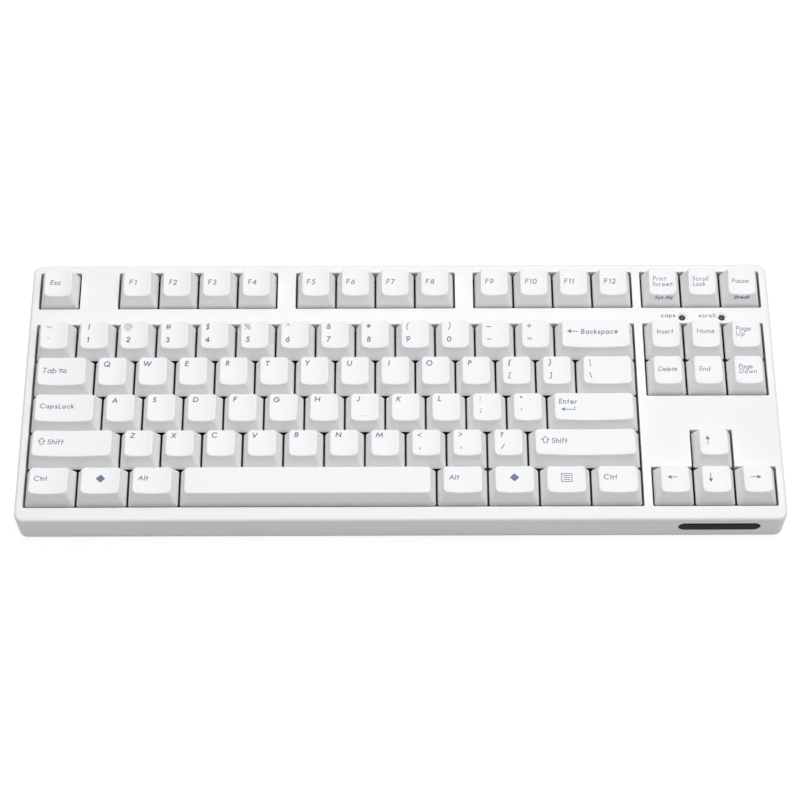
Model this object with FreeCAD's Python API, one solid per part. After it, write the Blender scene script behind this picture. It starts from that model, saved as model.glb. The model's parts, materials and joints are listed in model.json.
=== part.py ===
import FreeCAD, Part

import math
import os

from FreeCAD import Vector

# A compact mechanical keyboard without a number pad: 87 keys in a two-shell case.
#
# Everything is drawn in the deck frame: X to the right, Y to the back, Z square to the
# plate that holds the switches, with Z = 0 on that plate's upper face and the origin at
# the middle of the key field. The case stands on a base that slopes under the deck, so
# at the end the whole part is turned by DECK_TILT and set down with its feet on Z = 0.
# Sizes are in millimetres, angles in degrees, and key widths in units of KEY_PITCH.

# A cutting tool runs PAST the face it opens. The round end of a pill takes END_ROUND of
# its half width, and a short flat is left in the middle.
PAST = 1.0
END_ROUND = 0.98

# ---- Key field ---------------------------------------------------------------------
KEY_PITCH = 19.05
FUNCTION_ROW_GAP = 0.5
CLUSTER_GAP = 0.25
FUNCTION_BLOCK_GAP = 0.5
ESCAPE_GAP = 1.0

# ---- Case --------------------------------------------------------------------------
DECK_TILT = 3.5
SIDE_BORDER = 4.2
FRONT_BORDER = 7.5
BACK_BORDER = 5.0
BEZEL_RISE = 8.0
BEZEL_THICKNESS = 2.2
FRONT_HEIGHT = 18.8
CASE_WALL = 2.5
CASE_CORNER = 4.4
TOP_EDGE_ROUND = 1.4
BASE_EDGE_ROUND = 2.0
BASE_THICKNESS = 2.2
SEAM_GAP = 0.2
LIP_HEIGHT = 2.5
LIP_THICKNESS = 1.2
LIP_CLEARANCE = 0.15
TAB_LENGTH = 14.0
TAB_COUNT_LONG = 5
TAB_COUNT_SHORT = 2
WELL_MARGIN_X = 0.45
WELL_MARGIN_Y = 0.55
WELL_CORNER = 0.7
WELL_SKIRT = 1.4
LABEL_LENGTH = 70.0
LABEL_WIDTH = 28.0
LABEL_DEPTH = 0.3

# ---- Screws and the bosses that they hold ---------------------------------------------
SCREW_RADIUS = 1.5
SCREW_GRIP = 2.7
SCREW_BITE = 9.0
SCREW_TIP_ROOM = 1.0
SCREW_HEAD_RADIUS = 2.75
SCREW_HEAD_HEIGHT = 2.0
SCREW_HEAD_BEVEL = 0.5
SCREW_DRIVE_SPAN = 3.3
SCREW_DRIVE_WIDTH = 1.0
SCREW_DRIVE_DEPTH = 1.0
SCREW_CLEARANCE = 0.15
THREAD_CLEARANCE = 0.05
BOSS_RADIUS = 2.8
BOSS_SHOULDER = 0.8
BOSS_HOLE_CLEARANCE = 0.4
BOSS_BELOW_BOARD = 1.9
PILLAR_WALL = 1.6

# ---- Plate and circuit board ---------------------------------------------------------
PLATE_THICKNESS = 1.5
PLATE_EDGE_GAP = 0.8
PLATE_CORNER = 2.0
SWITCH_BODY = 13.9
SWITCH_FIT = 0.05
BOARD_THICKNESS = 1.6
BOARD_EDGE_GAP = 0.6
BOARD_CORNER = 1.5

# ---- Key switch ----------------------------------------------------------------------
KEY_TRAVEL = 4.0
SWITCH_DEPTH = 5.0
SWITCH_FLANGE = 15.6
SWITCH_FLANGE_HEIGHT = 1.0
SWITCH_WALL = 0.75
SWITCH_FLOOR = 1.4
POST_RADIUS = 1.8
POST_LENGTH = 3.3
POST_FLOOR = 0.5
POST_CLEARANCE = 0.35
COVER_FOOT = 14.6
COVER_TOP_WIDTH = 10.8
COVER_TOP_DEPTH = 10.4
COVER_HEIGHT = 5.6
COVER_WALL = 0.8
COVER_ROOF = 1.2
STEM_WIDTH = 7.0
STEM_DEPTH = 5.8
STEM_CLEARANCE = 0.35
STEM_BELOW_COVER = 0.1
STEM_SKIRT = 4.6
STEM_WING_WIDTH = 8.5
STEM_WING_DEPTH = 2.4
STEM_STOP_GAP = 0.3
POLE_RADIUS = 1.2
POLE_CLEARANCE = 0.4
CROSS_SPAN = 4.0
CROSS_BAR_X = 1.3
CROSS_BAR_Y = 1.1
CROSS_HEIGHT = 3.6
CROSS_CLEARANCE = 0.05
CROSS_TIP_ROOM = 0.2
SPRING_RADIUS = 1.95
SPRING_WIRE = 0.3
SPRING_TURNS = 5
SPRING_END_GAP = 0.3
CONTACT_PINS = ((-3.81, 2.54), (2.54, 5.08))
CONTACT_WIDTH = 0.9
CONTACT_THICKNESS = 0.3
CONTACT_TAIL = 3.3
CONTACT_CLEARANCE = 0.05
CONTACT_LEAF_WIDTH = 2.6
CONTACT_LEAF_HEIGHT = 4.2
CONTACT_LEAF_Y = 5.25
CONTACT_HOLE = 0.85

# ---- Keycaps ---------------------------------------------------------------------------
CAP_GAP = 0.95
CAP_WALL = 1.3
CAP_ROOF = 1.5
CAP_SIDE_INSET = 2.6
CAP_FOOT_CORNER = 0.9
CAP_TOP_CORNER = 2.2
CAP_DISH = 0.9
CAP_EDGE_ROUND = 0.6
CAP_BOSS_RADIUS = 2.75
SPACE_CROWN = 0.5
SPACE_CROWN_DROP = 0.125
HOMING_LENGTH = 3.8
HOMING_RADIUS = 0.45
HOMING_RISE = 0.3
HOMING_FROM_FRONT = 2.6
# Sculpted rows: height of the top over the rim at its back and at its front edge,
# how far the top sits back of the key's middle, and its depth along the slope.
CAP_PROFILES = {
    "tall": (11.3, 9.5, 0.1, 13.6),
    "upper": (9.6, 8.8, 0.2, 13.9),
    "home": (8.8, 8.8, 0.1, 13.8),
    "lower": (8.6, 9.6, 0.6, 13.4),
}

# ---- Stabilisers under the wide keys -----------------------------------------------------
STABILISER_SPAN = 11.94
SPACE_STABILISER_SPAN = 50.0
WIRE_RADIUS = 0.75
WIRE_FIT = 0.05
WIRE_PIVOT_BACK = 8.7
WIRE_PIVOT_UP = 0.9
WIRE_ARM = 9.5
WIRE_ARM_OUTSIDE = 3.0
WIRE_HOOK_INSIDE = 1.5
WIRE_BEND = 1.4
WIRE_SLOT_CENTRE = 5.6
WIRE_SLOT_ROOM = 0.2
INSERT_WIDTH = 4.0
INSERT_BACK = 2.6
INSERT_FRONT = 2.2
INSERT_FLOOR = 0.45
INSERT_ROOF = 0.65
INSERT_SLOT_END = 0.6
CLIP_WIDTH = 3.0
CLIP_DEPTH = 2.6
CLIP_OVER_WIRE = 0.4
CLIP_FOOT_WIDTH = 2.2
CLIP_FOOT_DEPTH = 1.8
CLIP_FOOT_BELOW_PLATE = 0.8
CLIP_FOOT_CLEARANCE = 0.1
CLIP_INWARD = 0.5

# ---- Parts on the circuit board ------------------------------------------------------------
DIODE_LENGTH = 3.0
DIODE_WIDTH = 1.4
DIODE_HEIGHT = 1.1
DIODE_IN_FRONT = 5.5
CONTROLLER_SIZE = 12.0
CONTROLLER_HEIGHT = 1.4
CRYSTAL_LENGTH = 8.0
CRYSTAL_WIDTH = 3.4
CRYSTAL_HEIGHT = 3.0
SOCKET_LENGTH = 12.0
SOCKET_WIDTH = 5.8
SOCKET_HEIGHT = 4.6
SOCKET_WALL = 0.8
CHIP_SPACING = 4.0

# ---- Lights, badge, cable gland --------------------------------------------------------------
LIGHT_RADIUS = 1.5
LIGHT_CLEARANCE = 0.1
LIGHT_RECESS = 0.7
LIGHT_BODY = 5.3
LIGHT_LEG = 0.5
LIGHT_LEG_SPREAD = 1.27
LIGHT_SINK_RADIUS = 2.5
LIGHT_SINK_DEPTH = 0.7
LIGHT_FORWARD = 0.9
LIGHT_PLATE_HOLE = 2.2
LEG_HOLE_CLEARANCE = 0.2
BADGE_LENGTH = 37.8
BADGE_HEIGHT = 6.8
BADGE_THICKNESS = 1.3
BADGE_RECESS = 1.0
BADGE_CLEARANCE = 0.15
BADGE_BELOW_BEZEL = 7.8
BADGE_FROM_SIDE = 30.8
BADGE_BEVEL = 0.5
GLAND_BODY = 3.5
GLAND_FLANGE = 4.8
GLAND_FLANGE_THICKNESS = 1.1
GLAND_BORE = 2.1
GLAND_CLEARANCE = 0.1
GLAND_NECK = 4.0
GLAND_ABOVE_BASE = 10.0

# ---- Rubber pads and folding feet --------------------------------------------------------------
PAD_LENGTH = 22.0
PAD_WIDTH = 9.0
PAD_PROUD = 1.0
PAD_RECESS = 0.8
PAD_CLEARANCE = 0.1
PAD_EDGE_ROUND = 0.5
PAD_FROM_SIDE = 16.0
PAD_FROM_END = 11.0
FOOT_WIDTH = 22.0
FOOT_LENGTH = 13.5
FOOT_THICKNESS = 3.4
FOOT_RECESS = 0.2
FOOT_BARREL = 2.2
FOOT_PIN = 1.2
FOOT_PIN_FIT = 0.05
FOOT_PIN_LENGTH = 1.3
FOOT_SIDE_GAP = 0.35
FOOT_BACK_ROOM = 3.1
FOOT_FINGER_ROOM = 3.5
FOOT_ROOM_ABOVE = 0.6
FOOT_SOLE = 1.4
FOOT_SOLE_TONGUE = 1.2
FOOT_SOLE_TONGUE_WIDTH = 16.0
FOOT_SOLE_FIT = 0.05
FOOT_FROM_SIDE = 60.0
FOOT_FROM_BACK = 16.0
POCKET_WALL = 1.5

X_AXIS = Vector(1, 0, 0)
Y_AXIS = Vector(0, 1, 0)
Z_AXIS = Vector(0, 0, 1)
ORIGIN = Vector(0, 0, 0)

# ---- Which keys there are ------------------------------------------------------------------------
# Each row: the profile of its caps, then groups of keys from left to right. A group is
# one piece of the assembly: its name, the gap before it and the widths of its keys.
ONE = 1.0
MODIFIER = 1.25
ROWS = (
    ("tall", (
        ("escape_key", 0.0, (ONE,)),
        ("f1_to_f4_keys", ESCAPE_GAP, (ONE,) * 4),
        ("f5_to_f8_keys", FUNCTION_BLOCK_GAP, (ONE,) * 4),
        ("f9_to_f12_keys", FUNCTION_BLOCK_GAP, (ONE,) * 4),
        ("print_scroll_pause_keys", CLUSTER_GAP, (ONE,) * 3))),
    ("tall", (
        ("grave_to_3_keys", 0.0, (ONE,) * 4),
        ("number_4_to_6_keys", 0.0, (ONE,) * 3),
        ("number_7_to_9_keys", 0.0, (ONE,) * 3),
        ("zero_to_equals_keys", 0.0, (ONE,) * 3),
        ("backspace_key", 0.0, (2.0,)),
        ("insert_home_page_up_keys", CLUSTER_GAP, (ONE,) * 3))),
    ("upper", (
        ("tab_key", 0.0, (1.5,)),
        ("q_w_e_keys", 0.0, (ONE,) * 3),
        ("r_t_y_keys", 0.0, (ONE,) * 3),
        ("u_i_o_keys", 0.0, (ONE,) * 3),
        ("p_and_bracket_keys", 0.0, (ONE,) * 3),
        ("backslash_key", 0.0, (1.5,)),
        ("delete_end_page_down_keys", CLUSTER_GAP, (ONE,) * 3))),
    ("home", (
        ("caps_lock_key", 0.0, (1.75,)),
        ("a_s_d_keys", 0.0, (ONE,) * 3),
        ("f_g_h_keys", 0.0, (ONE,) * 3),
        ("j_k_l_keys", 0.0, (ONE,) * 3),
        ("semicolon_quote_keys", 0.0, (ONE,) * 2),
        ("enter_key", 0.0, (2.25,)))),
    ("lower", (
        ("left_shift_key", 0.0, (2.25,)),
        ("z_x_c_keys", 0.0, (ONE,) * 3),
        ("v_b_n_m_keys", 0.0, (ONE,) * 4),
        ("comma_period_slash_keys", 0.0, (ONE,) * 3),
        ("right_shift_key", 0.0, (2.75,)),
        ("up_arrow_key", CLUSTER_GAP + ONE, (ONE,)))),
    ("lower", (
        ("left_modifier_keys", 0.0, (MODIFIER,) * 3),
        ("space_bar", 0.0, (6.25,)),
        ("right_modifier_keys", 0.0, (MODIFIER,) * 4),
        ("left_arrow_key", CLUSTER_GAP, (ONE,)),
        ("down_arrow_key", 0.0, (ONE,)),
        ("right_arrow_key", 0.0, (ONE,)))),
)
STABILISED = {
    "backspace_key": STABILISER_SPAN,
    "enter_key": STABILISER_SPAN,
    "left_shift_key": STABILISER_SPAN,
    "right_shift_key": STABILISER_SPAN,
    "space_bar": SPACE_STABILISER_SPAN,
}
HOMING_KEYS = (("f_g_h_keys", 0), ("j_k_l_keys", 0))

# ---- Values that follow from the sizes above ---------------------------------------------------
MAIN_UNITS = sum(sum(widths) for _, _, widths in ROWS[1][1][:-1])
CLUSTER_UNITS = sum(ROWS[1][1][-1][2])
COLUMNS = MAIN_UNITS + CLUSTER_GAP + CLUSTER_UNITS
CLUSTER_LEFT = MAIN_UNITS + CLUSTER_GAP
FIRST_ROW = ONE + FUNCTION_ROW_GAP
LINES = len(ROWS) + FUNCTION_ROW_GAP
FIELD_HALF_X = COLUMNS * KEY_PITCH / 2
FIELD_HALF_Y = LINES * KEY_PITCH / 2

CASE_X = FIELD_HALF_X + SIDE_BORDER
CASE_FRONT = -FIELD_HALF_Y - FRONT_BORDER
CASE_BACK = FIELD_HALF_Y + BACK_BORDER
BASE_EDGE = Vector(0, CASE_FRONT, BEZEL_RISE - FRONT_HEIGHT)
CASE_DEPTH = CASE_BACK - CASE_FRONT
BASE_LENGTH = CASE_DEPTH / math.cos(math.radians(DECK_TILT))
FAR = CASE_X + CASE_DEPTH

BEZEL_UNDER = BEZEL_RISE - BEZEL_THICKNESS
PLATE_UNDER = -PLATE_THICKNESS
BOARD_TOP = -SWITCH_DEPTH
BOARD_UNDER = BOARD_TOP - BOARD_THICKNESS
BOSS_END = BOARD_UNDER - BOSS_BELOW_BOARD
SCREW_SEAT = BOSS_END - SCREW_GRIP
BOSS_HOLE = BOSS_RADIUS + BOSS_HOLE_CLEARANCE

COVER_TOP = SWITCH_FLANGE_HEIGHT + COVER_HEIGHT
STEM_TOP = COVER_TOP - STEM_BELOW_COVER
STEM_BOTTOM = STEM_TOP - STEM_SKIRT
CAVITY_FLOOR = -SWITCH_DEPTH + SWITCH_FLOOR
POST_END = -SWITCH_DEPTH - POST_LENGTH
RIM = STEM_TOP
WIRE_REST_ANGLE = math.degrees(math.asin((WIRE_SLOT_CENTRE - WIRE_PIVOT_UP) / WIRE_ARM))
WIRE_DOWN_ANGLE = math.degrees(
    math.asin((WIRE_SLOT_CENTRE - KEY_TRAVEL - WIRE_PIVOT_UP) / WIRE_ARM))
INSERT_TOP = WIRE_SLOT_CENTRE + WIRE_RADIUS + WIRE_SLOT_ROOM + INSERT_ROOF
INSERT_BOTTOM = WIRE_SLOT_CENTRE - WIRE_RADIUS - WIRE_SLOT_ROOM - INSERT_FLOOR
LIGHT_Y = FIELD_HALF_Y - (ONE + FUNCTION_ROW_GAP / 2) * KEY_PITCH - LIGHT_FORWARD
LIGHT_TOP = BEZEL_RISE - LIGHT_RECESS
LIGHT_COLUMNS = (CLUSTER_LEFT + ONE, CLUSTER_LEFT + 2 * ONE)
FOOT_PIVOT_UP = FOOT_RECESS + FOOT_BARREL
FOOT_X = CASE_X - FOOT_FROM_SIDE
FOOT_PIVOT_ALONG = BASE_LENGTH - FOOT_FROM_BACK
GLAND_HEIGHT = BASE_EDGE.z - CASE_DEPTH * math.tan(math.radians(DECK_TILT)) + GLAND_ABOVE_BASE
SCREWS = (
    (ONE + ESCAPE_GAP / 2, ONE / 2),
    (ONE + ESCAPE_GAP + 4 * ONE + FUNCTION_BLOCK_GAP / 2, ONE / 2),
    (ONE + ESCAPE_GAP + 8 * ONE + FUNCTION_BLOCK_GAP * 3 / 2, ONE / 2),
    (CLUSTER_LEFT + ONE / 2, FIRST_ROW + 3 * ONE),
    (CLUSTER_LEFT + 5 * ONE / 2, FIRST_ROW + 3 * ONE),
)


# ---- Small shapes that the pieces are made from --------------------------------------------------
def field_x(column):
    """X of a column counted in units from the left edge of the key field."""
    return column * KEY_PITCH - FIELD_HALF_X


def field_y(line):
    """Y of a line counted in units from the back edge of the key field."""
    return FIELD_HALF_Y - line * KEY_PITCH


def block(x0, x1, y0, y1, z0, z1):
    """A box between two corners."""
    return Part.makeBox(x1 - x0, y1 - y0, z1 - z0, Vector(x0, y0, z0))


def centred_block(width, depth, z0, z1, x=0.0, y=0.0):
    """A box about the line through (x, y)."""
    return block(x - width / 2, x + width / 2, y - depth / 2, y + depth / 2, z0, z1)


def rod(radius, z0, z1, x=0.0, y=0.0):
    """An upright cylinder."""
    return Part.makeCylinder(radius, z1 - z0, Vector(x, y, z0), Z_AXIS)


def cross_rod(radius, x0, x1, y, z):
    """A cylinder that lies along X."""
    return Part.makeCylinder(radius, x1 - x0, Vector(x0, y, z), X_AXIS)


def circle(x, y, z, radius):
    """A round wire in a level plane."""
    return Part.Wire([Part.makeCircle(radius, Vector(x, y, z), Z_AXIS)])


def rounded_outline(x0, x1, y0, y1, z, radius):
    """A level rectangle with round corners, as one wire."""
    inset = radius * (1 - math.sqrt(0.5))
    corners = ((x1, y0, -1, 1), (x1, y1, -1, -1), (x0, y1, 1, -1), (x0, y0, 1, 1))
    arcs = []
    for index, (x, y, sx, sy) in enumerate(corners):
        on_x = Vector(x + sx * radius, y, z)
        on_y = Vector(x, y + sy * radius, z)
        middle = Vector(x + sx * inset, y + sy * inset, z)
        ends = (on_x, on_y) if index % 2 == 0 else (on_y, on_x)
        arcs.append((ends[0], middle, ends[1]))
    edges = []
    for index, (start, middle, end) in enumerate(arcs):
        edges.append(Part.Arc(start, middle, end).toShape())
        following = arcs[(index + 1) % len(arcs)][0]
        edges.append(Part.LineSegment(end, following).toShape())
    return Part.Wire(edges)


def rounded_block(x0, x1, y0, y1, z0, z1, radius):
    """A box whose upright edges are rounded."""
    face = Part.Face(rounded_outline(x0, x1, y0, y1, z0, radius))
    return face.extrude(Vector(0, 0, z1 - z0))


def case_block(inset, z0, z1, radius):
    """A block with the outline of the case, drawn in by an inset."""
    return rounded_block(-CASE_X + inset, CASE_X - inset, CASE_FRONT + inset,
                         CASE_BACK - inset, z0, z1, radius)


def frustum(width0, depth0, z0, width1, depth1, z1):
    """A block with a rectangular foot and a smaller rectangular top."""
    wedge = Part.makeWedge(-width0 / 2, 0, -depth0 / 2, -depth1 / 2, -width1 / 2,
                           width0 / 2, z1 - z0, depth0 / 2, depth1 / 2, width1 / 2)
    wedge.rotate(ORIGIN, X_AXIS, 90)
    wedge.translate(Vector(0, 0, z0))
    return wedge


def on_base(shape):
    """Turn a shape drawn over a level base, from its front edge, into the deck frame."""
    shape.rotate(ORIGIN, X_AXIS, -DECK_TILT)
    shape.translate(BASE_EDGE)
    return shape


def above_base(height):
    """Everything that is higher than this above the base."""
    return on_base(block(-FAR, FAR, -FAR, FAR, height, FAR))


def below_base(height):
    """Everything that is lower than this above the base."""
    return on_base(block(-FAR, FAR, -FAR, FAR, -FAR, height))


def moved(shape, x, y, z=0.0):
    """A copy of a shape at another place."""
    copy = shape.copy()
    copy.translate(Vector(x, y, z))
    return copy


def fused(shapes):
    """Several overlapping or touching shapes as one solid."""
    whole = shapes[0].fuse(list(shapes[1:])) if len(shapes) > 1 else shapes[0]
    return whole.removeSplitter().Solids[0]


def slab(outline, holes, z0, z1):
    """A flat sheet with holes through it."""
    face = Part.makeFace([outline] + holes, "Part::FaceMakerBullseye")
    return face.extrude(Vector(0, 0, z1 - z0)).Solids[0]


# ---- Where the keys are --------------------------------------------------------------------------
def row_line(row):
    """The line, in units, of a row's back edge."""
    return row * ONE + (FUNCTION_ROW_GAP if row > 0 else 0.0)


def key_groups():
    """Each group of keys: its name, profile, and the centre and width of each key."""
    groups = []
    for row, (profile, members) in enumerate(ROWS):
        column = 0.0
        y = field_y(row_line(row) + ONE / 2)
        for name, gap, widths in members:
            column += gap
            keys = []
            for width in widths:
                keys.append((field_x(column + width / 2), y, width))
                column += width
            groups.append((name, profile, keys))
    return groups


def key_centres():
    """The centre of every key."""
    return [(x, y) for _, _, keys in key_groups() for x, y, _ in keys]


def stabilisers():
    """Each wide key that has a stabiliser: its name, centre and span."""
    found = []
    for name, _, keys in key_groups():
        if name in STABILISED:
            x, y, _ = keys[0]
            found.append((name, x, y, STABILISED[name]))
    return found


def wells():
    """The openings of the bezel, as rectangles in units: left, right, back, front."""
    blocks = []
    column = 0.0
    for _, gap, widths in ROWS[0][1]:
        column += gap
        blocks.append((column, column + sum(widths), 0.0, ONE))
        column += sum(widths)
    blocks.append((0.0, MAIN_UNITS, FIRST_ROW, LINES))
    blocks.append((CLUSTER_LEFT, COLUMNS, FIRST_ROW, FIRST_ROW + 2 * ONE))
    return blocks


def arrow_well():
    """The two rectangles of the opening around the arrow keys."""
    up = CLUSTER_LEFT + ONE
    return ((up, up + ONE, LINES - 2 * ONE, LINES), (CLUSTER_LEFT, COLUMNS, LINES - ONE, LINES))


def well_block(area, grow, z0, z1, radius):
    """The block of air over one opening, grown on every side."""
    left, right, back, front = area
    return rounded_block(field_x(left) - WELL_MARGIN_X - grow,
                         field_x(right) + WELL_MARGIN_X + grow,
                         field_y(front) - WELL_MARGIN_Y - grow,
                         field_y(back) + WELL_MARGIN_Y + grow, z0, z1, radius)


# ---- Case ----------------------------------------------------------------------------------------
def case_envelope():
    """The whole outside of the closed case, with its rounded edges."""
    body = case_block(0.0, -CASE_DEPTH / 2, BEZEL_RISE, CASE_CORNER)
    body = body.common(above_base(0.0))
    top = [edge for edge in body.Edges
           if min(vertex.Z for vertex in edge.Vertexes) > BEZEL_RISE - TOP_EDGE_ROUND / 2]
    body = body.makeFillet(TOP_EDGE_ROUND, top)
    base = [edge for edge in body.Edges
            if max(height_over_base(vertex.Point) for vertex in edge.Vertexes) < 1e-4]
    return body.makeFillet(BASE_EDGE_ROUND, base)


def height_over_base(point):
    """How far a point of the deck frame lies above the plane of the base."""
    tilt = math.radians(DECK_TILT)
    away = point.sub(BASE_EDGE)
    return away.y * math.sin(tilt) + away.z * math.cos(tilt)


def pocket_between_wells():
    """The hollow of the upper shell: all the room inside its walls but the skirts."""
    hollow = case_block(CASE_WALL, -CASE_DEPTH / 2, BEZEL_UNDER, CASE_CORNER - CASE_WALL)
    skirts = []
    for area in wells() + list(arrow_well()):
        skirts.append(well_block(area, WELL_SKIRT, 0.0, BEZEL_UNDER + PAST, WELL_CORNER + WELL_SKIRT))
    for column, line in SCREWS:
        x, y = field_x(column), field_y(line)
        skirts.append(rod(BOSS_HOLE + BOSS_SHOULDER, 0.0, BEZEL_UNDER + PAST, x, y))
        skirts.append(rod(BOSS_RADIUS, BOSS_END, BEZEL_UNDER + PAST, x, y))
    return hollow.cut(skirts)


def top_case():
    """The upper shell: bezel, outer walls, skirts around the keys and screw bosses."""
    shell = case_envelope().common(above_base(BASE_THICKNESS + SEAM_GAP))
    tools = [pocket_between_wells()]
    for area in wells():
        tools.append(well_block(area, 0.0, -PAST, BEZEL_RISE + PAST, WELL_CORNER))
    tools.append(fused([well_block(area, 0.0, -PAST, BEZEL_RISE + PAST, WELL_CORNER)
                        for area in arrow_well()]))
    for column, line in SCREWS:
        pilot_end = SCREW_SEAT + SCREW_GRIP + SCREW_BITE + SCREW_TIP_ROOM
        tools.append(rod(SCREW_RADIUS + THREAD_CLEARANCE, BOSS_END - PAST, pilot_end,
                         field_x(column), field_y(line)))
    for column in LIGHT_COLUMNS:
        x = field_x(column)
        tools.append(rod(LIGHT_RADIUS + LIGHT_CLEARANCE, 0, BEZEL_RISE + PAST, x, LIGHT_Y))
        tools.append(Part.makeCone(LIGHT_RADIUS + LIGHT_CLEARANCE, LIGHT_SINK_RADIUS,
                                   LIGHT_SINK_DEPTH,
                                   Vector(x, LIGHT_Y, BEZEL_RISE - LIGHT_SINK_DEPTH)))
    tools.append(badge_shape(BADGE_CLEARANCE, BADGE_RECESS + PAST, CASE_FRONT + BADGE_RECESS))
    tools.append(Part.makeCylinder(GLAND_BODY + GLAND_CLEARANCE, 2 * CASE_WALL,
                                   Vector(0, CASE_BACK - 1.5 * CASE_WALL, GLAND_HEIGHT), Y_AXIS))
    shell = shell.cut(tools)
    return shell.Solids[0]


def support_ring(z_top):
    """The wall inside the lower shell, up to a level of the deck frame."""
    inner = CASE_WALL + LIP_CLEARANCE + LIP_THICKNESS
    outside = case_block(CASE_WALL + LIP_CLEARANCE, -CASE_DEPTH / 2, z_top,
                         CASE_CORNER - CASE_WALL - LIP_CLEARANCE)
    inside = case_block(inner, -CASE_DEPTH, z_top + PAST, max(CASE_CORNER - inner, WELL_CORNER))
    return outside.cut(inside)


def tab_blocks():
    """Blocks of room where the inner wall rises to carry the plate."""
    depth = 2 * (CASE_WALL + LIP_CLEARANCE + LIP_THICKNESS)
    blocks = []
    for index in range(TAB_COUNT_LONG):
        x = CASE_X * (2 * (index + 0.5) / TAB_COUNT_LONG - 1)
        if abs(x) < TAB_LENGTH:
            sides = (CASE_FRONT,)
        else:
            sides = (CASE_FRONT, CASE_BACK)
        blocks += [centred_block(TAB_LENGTH, depth, -CASE_DEPTH, 0, x, y) for y in sides]
    for index in range(TAB_COUNT_SHORT):
        y = CASE_FRONT + CASE_DEPTH * (index + 0.5) / TAB_COUNT_SHORT
        blocks += [centred_block(depth, TAB_LENGTH, -CASE_DEPTH, 0, x, y)
                   for x in (-CASE_X, CASE_X)]
    return blocks


def foot_pocket(grow, floor_room):
    """The room around one folded foot, over the base, at the middle of the case."""
    half = FOOT_WIDTH / 2 + FOOT_SIDE_GAP + grow
    front = FOOT_PIVOT_ALONG - FOOT_LENGTH - FOOT_FINGER_ROOM - grow
    back = FOOT_PIVOT_ALONG + FOOT_BACK_ROOM + grow
    top = FOOT_RECESS + 2 * FOOT_BARREL + FOOT_ROOM_ABOVE + grow
    return block(-half, half, front, back, -floor_room, top)


def pad_places():
    """The middle of each rubber pad, over the base."""
    x = CASE_X - PAD_FROM_SIDE
    return [(sx * x, along) for sx in (-1, 1)
            for along in (PAD_FROM_END, BASE_LENGTH - PAD_FROM_END)]


def pad_block(x, along, grow, z0, z1):
    """One pad with round ends."""
    half_x, half_y = PAD_LENGTH / 2 + grow, PAD_WIDTH / 2 + grow
    return rounded_block(x - half_x, x + half_x, along - half_y, along + half_y, z0, z1,
                         half_y * END_ROUND)


def bottom_case():
    """The lower shell: floor, locating lip, plate supports, screw pillars, foot pockets."""
    floor = case_envelope().common(below_base(BASE_THICKNESS))
    lip = support_ring(BEZEL_UNDER).common(above_base(BASE_THICKNESS / 2))
    low_lip = lip.common(below_base(BASE_THICKNESS + LIP_HEIGHT))
    tabs = support_ring(PLATE_UNDER).common(above_base(BASE_THICKNESS / 2))
    tabs = tabs.common(Part.makeCompound(tab_blocks()))
    pieces = [floor, low_lip] + tabs.Solids
    for column, line in SCREWS:
        pillar = rod(SCREW_HEAD_RADIUS + SCREW_CLEARANCE + PILLAR_WALL, -CASE_DEPTH / 2,
                     BOSS_END, field_x(column), field_y(line))
        pieces.append(pillar.common(above_base(BASE_THICKNESS / 2)))
    for side in (-1, 1):
        pocket = foot_pocket(POCKET_WALL, -BASE_THICKNESS / 2)
        pieces.append(on_base(moved(pocket, side * FOOT_X, 0)))
    shell = pieces[0].fuse(pieces[1:]).removeSplitter()
    tools = []
    for column, line in SCREWS:
        x, y = field_x(column), field_y(line)
        tools.append(rod(SCREW_RADIUS + SCREW_CLEARANCE, -CASE_DEPTH / 2, BOSS_END + PAST, x, y))
        tools.append(rod(SCREW_HEAD_RADIUS + SCREW_CLEARANCE, -CASE_DEPTH / 2, SCREW_SEAT, x, y))
    for side in (-1, 1):
        tools.append(on_base(moved(foot_pocket(0.0, PAST), side * FOOT_X, 0)))
        reach = FOOT_WIDTH / 2 + FOOT_SIDE_GAP + POCKET_WALL + PAST
        pin_hole = cross_rod(FOOT_PIN + FOOT_PIN_FIT, -reach, reach, FOOT_PIVOT_ALONG, FOOT_PIVOT_UP)
        tools.append(on_base(moved(pin_hole, side * FOOT_X, 0)))
    for x, along in pad_places():
        tools.append(on_base(pad_block(x, along, PAD_CLEARANCE, -PAST, PAD_RECESS)))
    tools.append(on_base(centred_block(LABEL_LENGTH, LABEL_WIDTH, -PAST, LABEL_DEPTH, 0,
                                       BASE_LENGTH / 2)))
    return shell.cut(tools).Solids[0]


# ---- Plate, board and what is soldered to it --------------------------------------------------------
def square_hole(x, y, z, size_x, size_y):
    """A rectangular wire in a level plane."""
    corners = [Vector(x + sx * size_x / 2, y + sy * size_y / 2, z)
               for sx, sy in ((-1, -1), (1, -1), (1, 1), (-1, 1), (-1, -1))]
    return Part.makePolygon(corners)


def clip_places():
    """Where the clips stand that hold the stabiliser wires to the plate."""
    return [(x + side * (span - CLIP_INWARD), y + WIRE_PIVOT_BACK)
            for _, x, y, span in stabilisers() for side in (-1, 1)]


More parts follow.
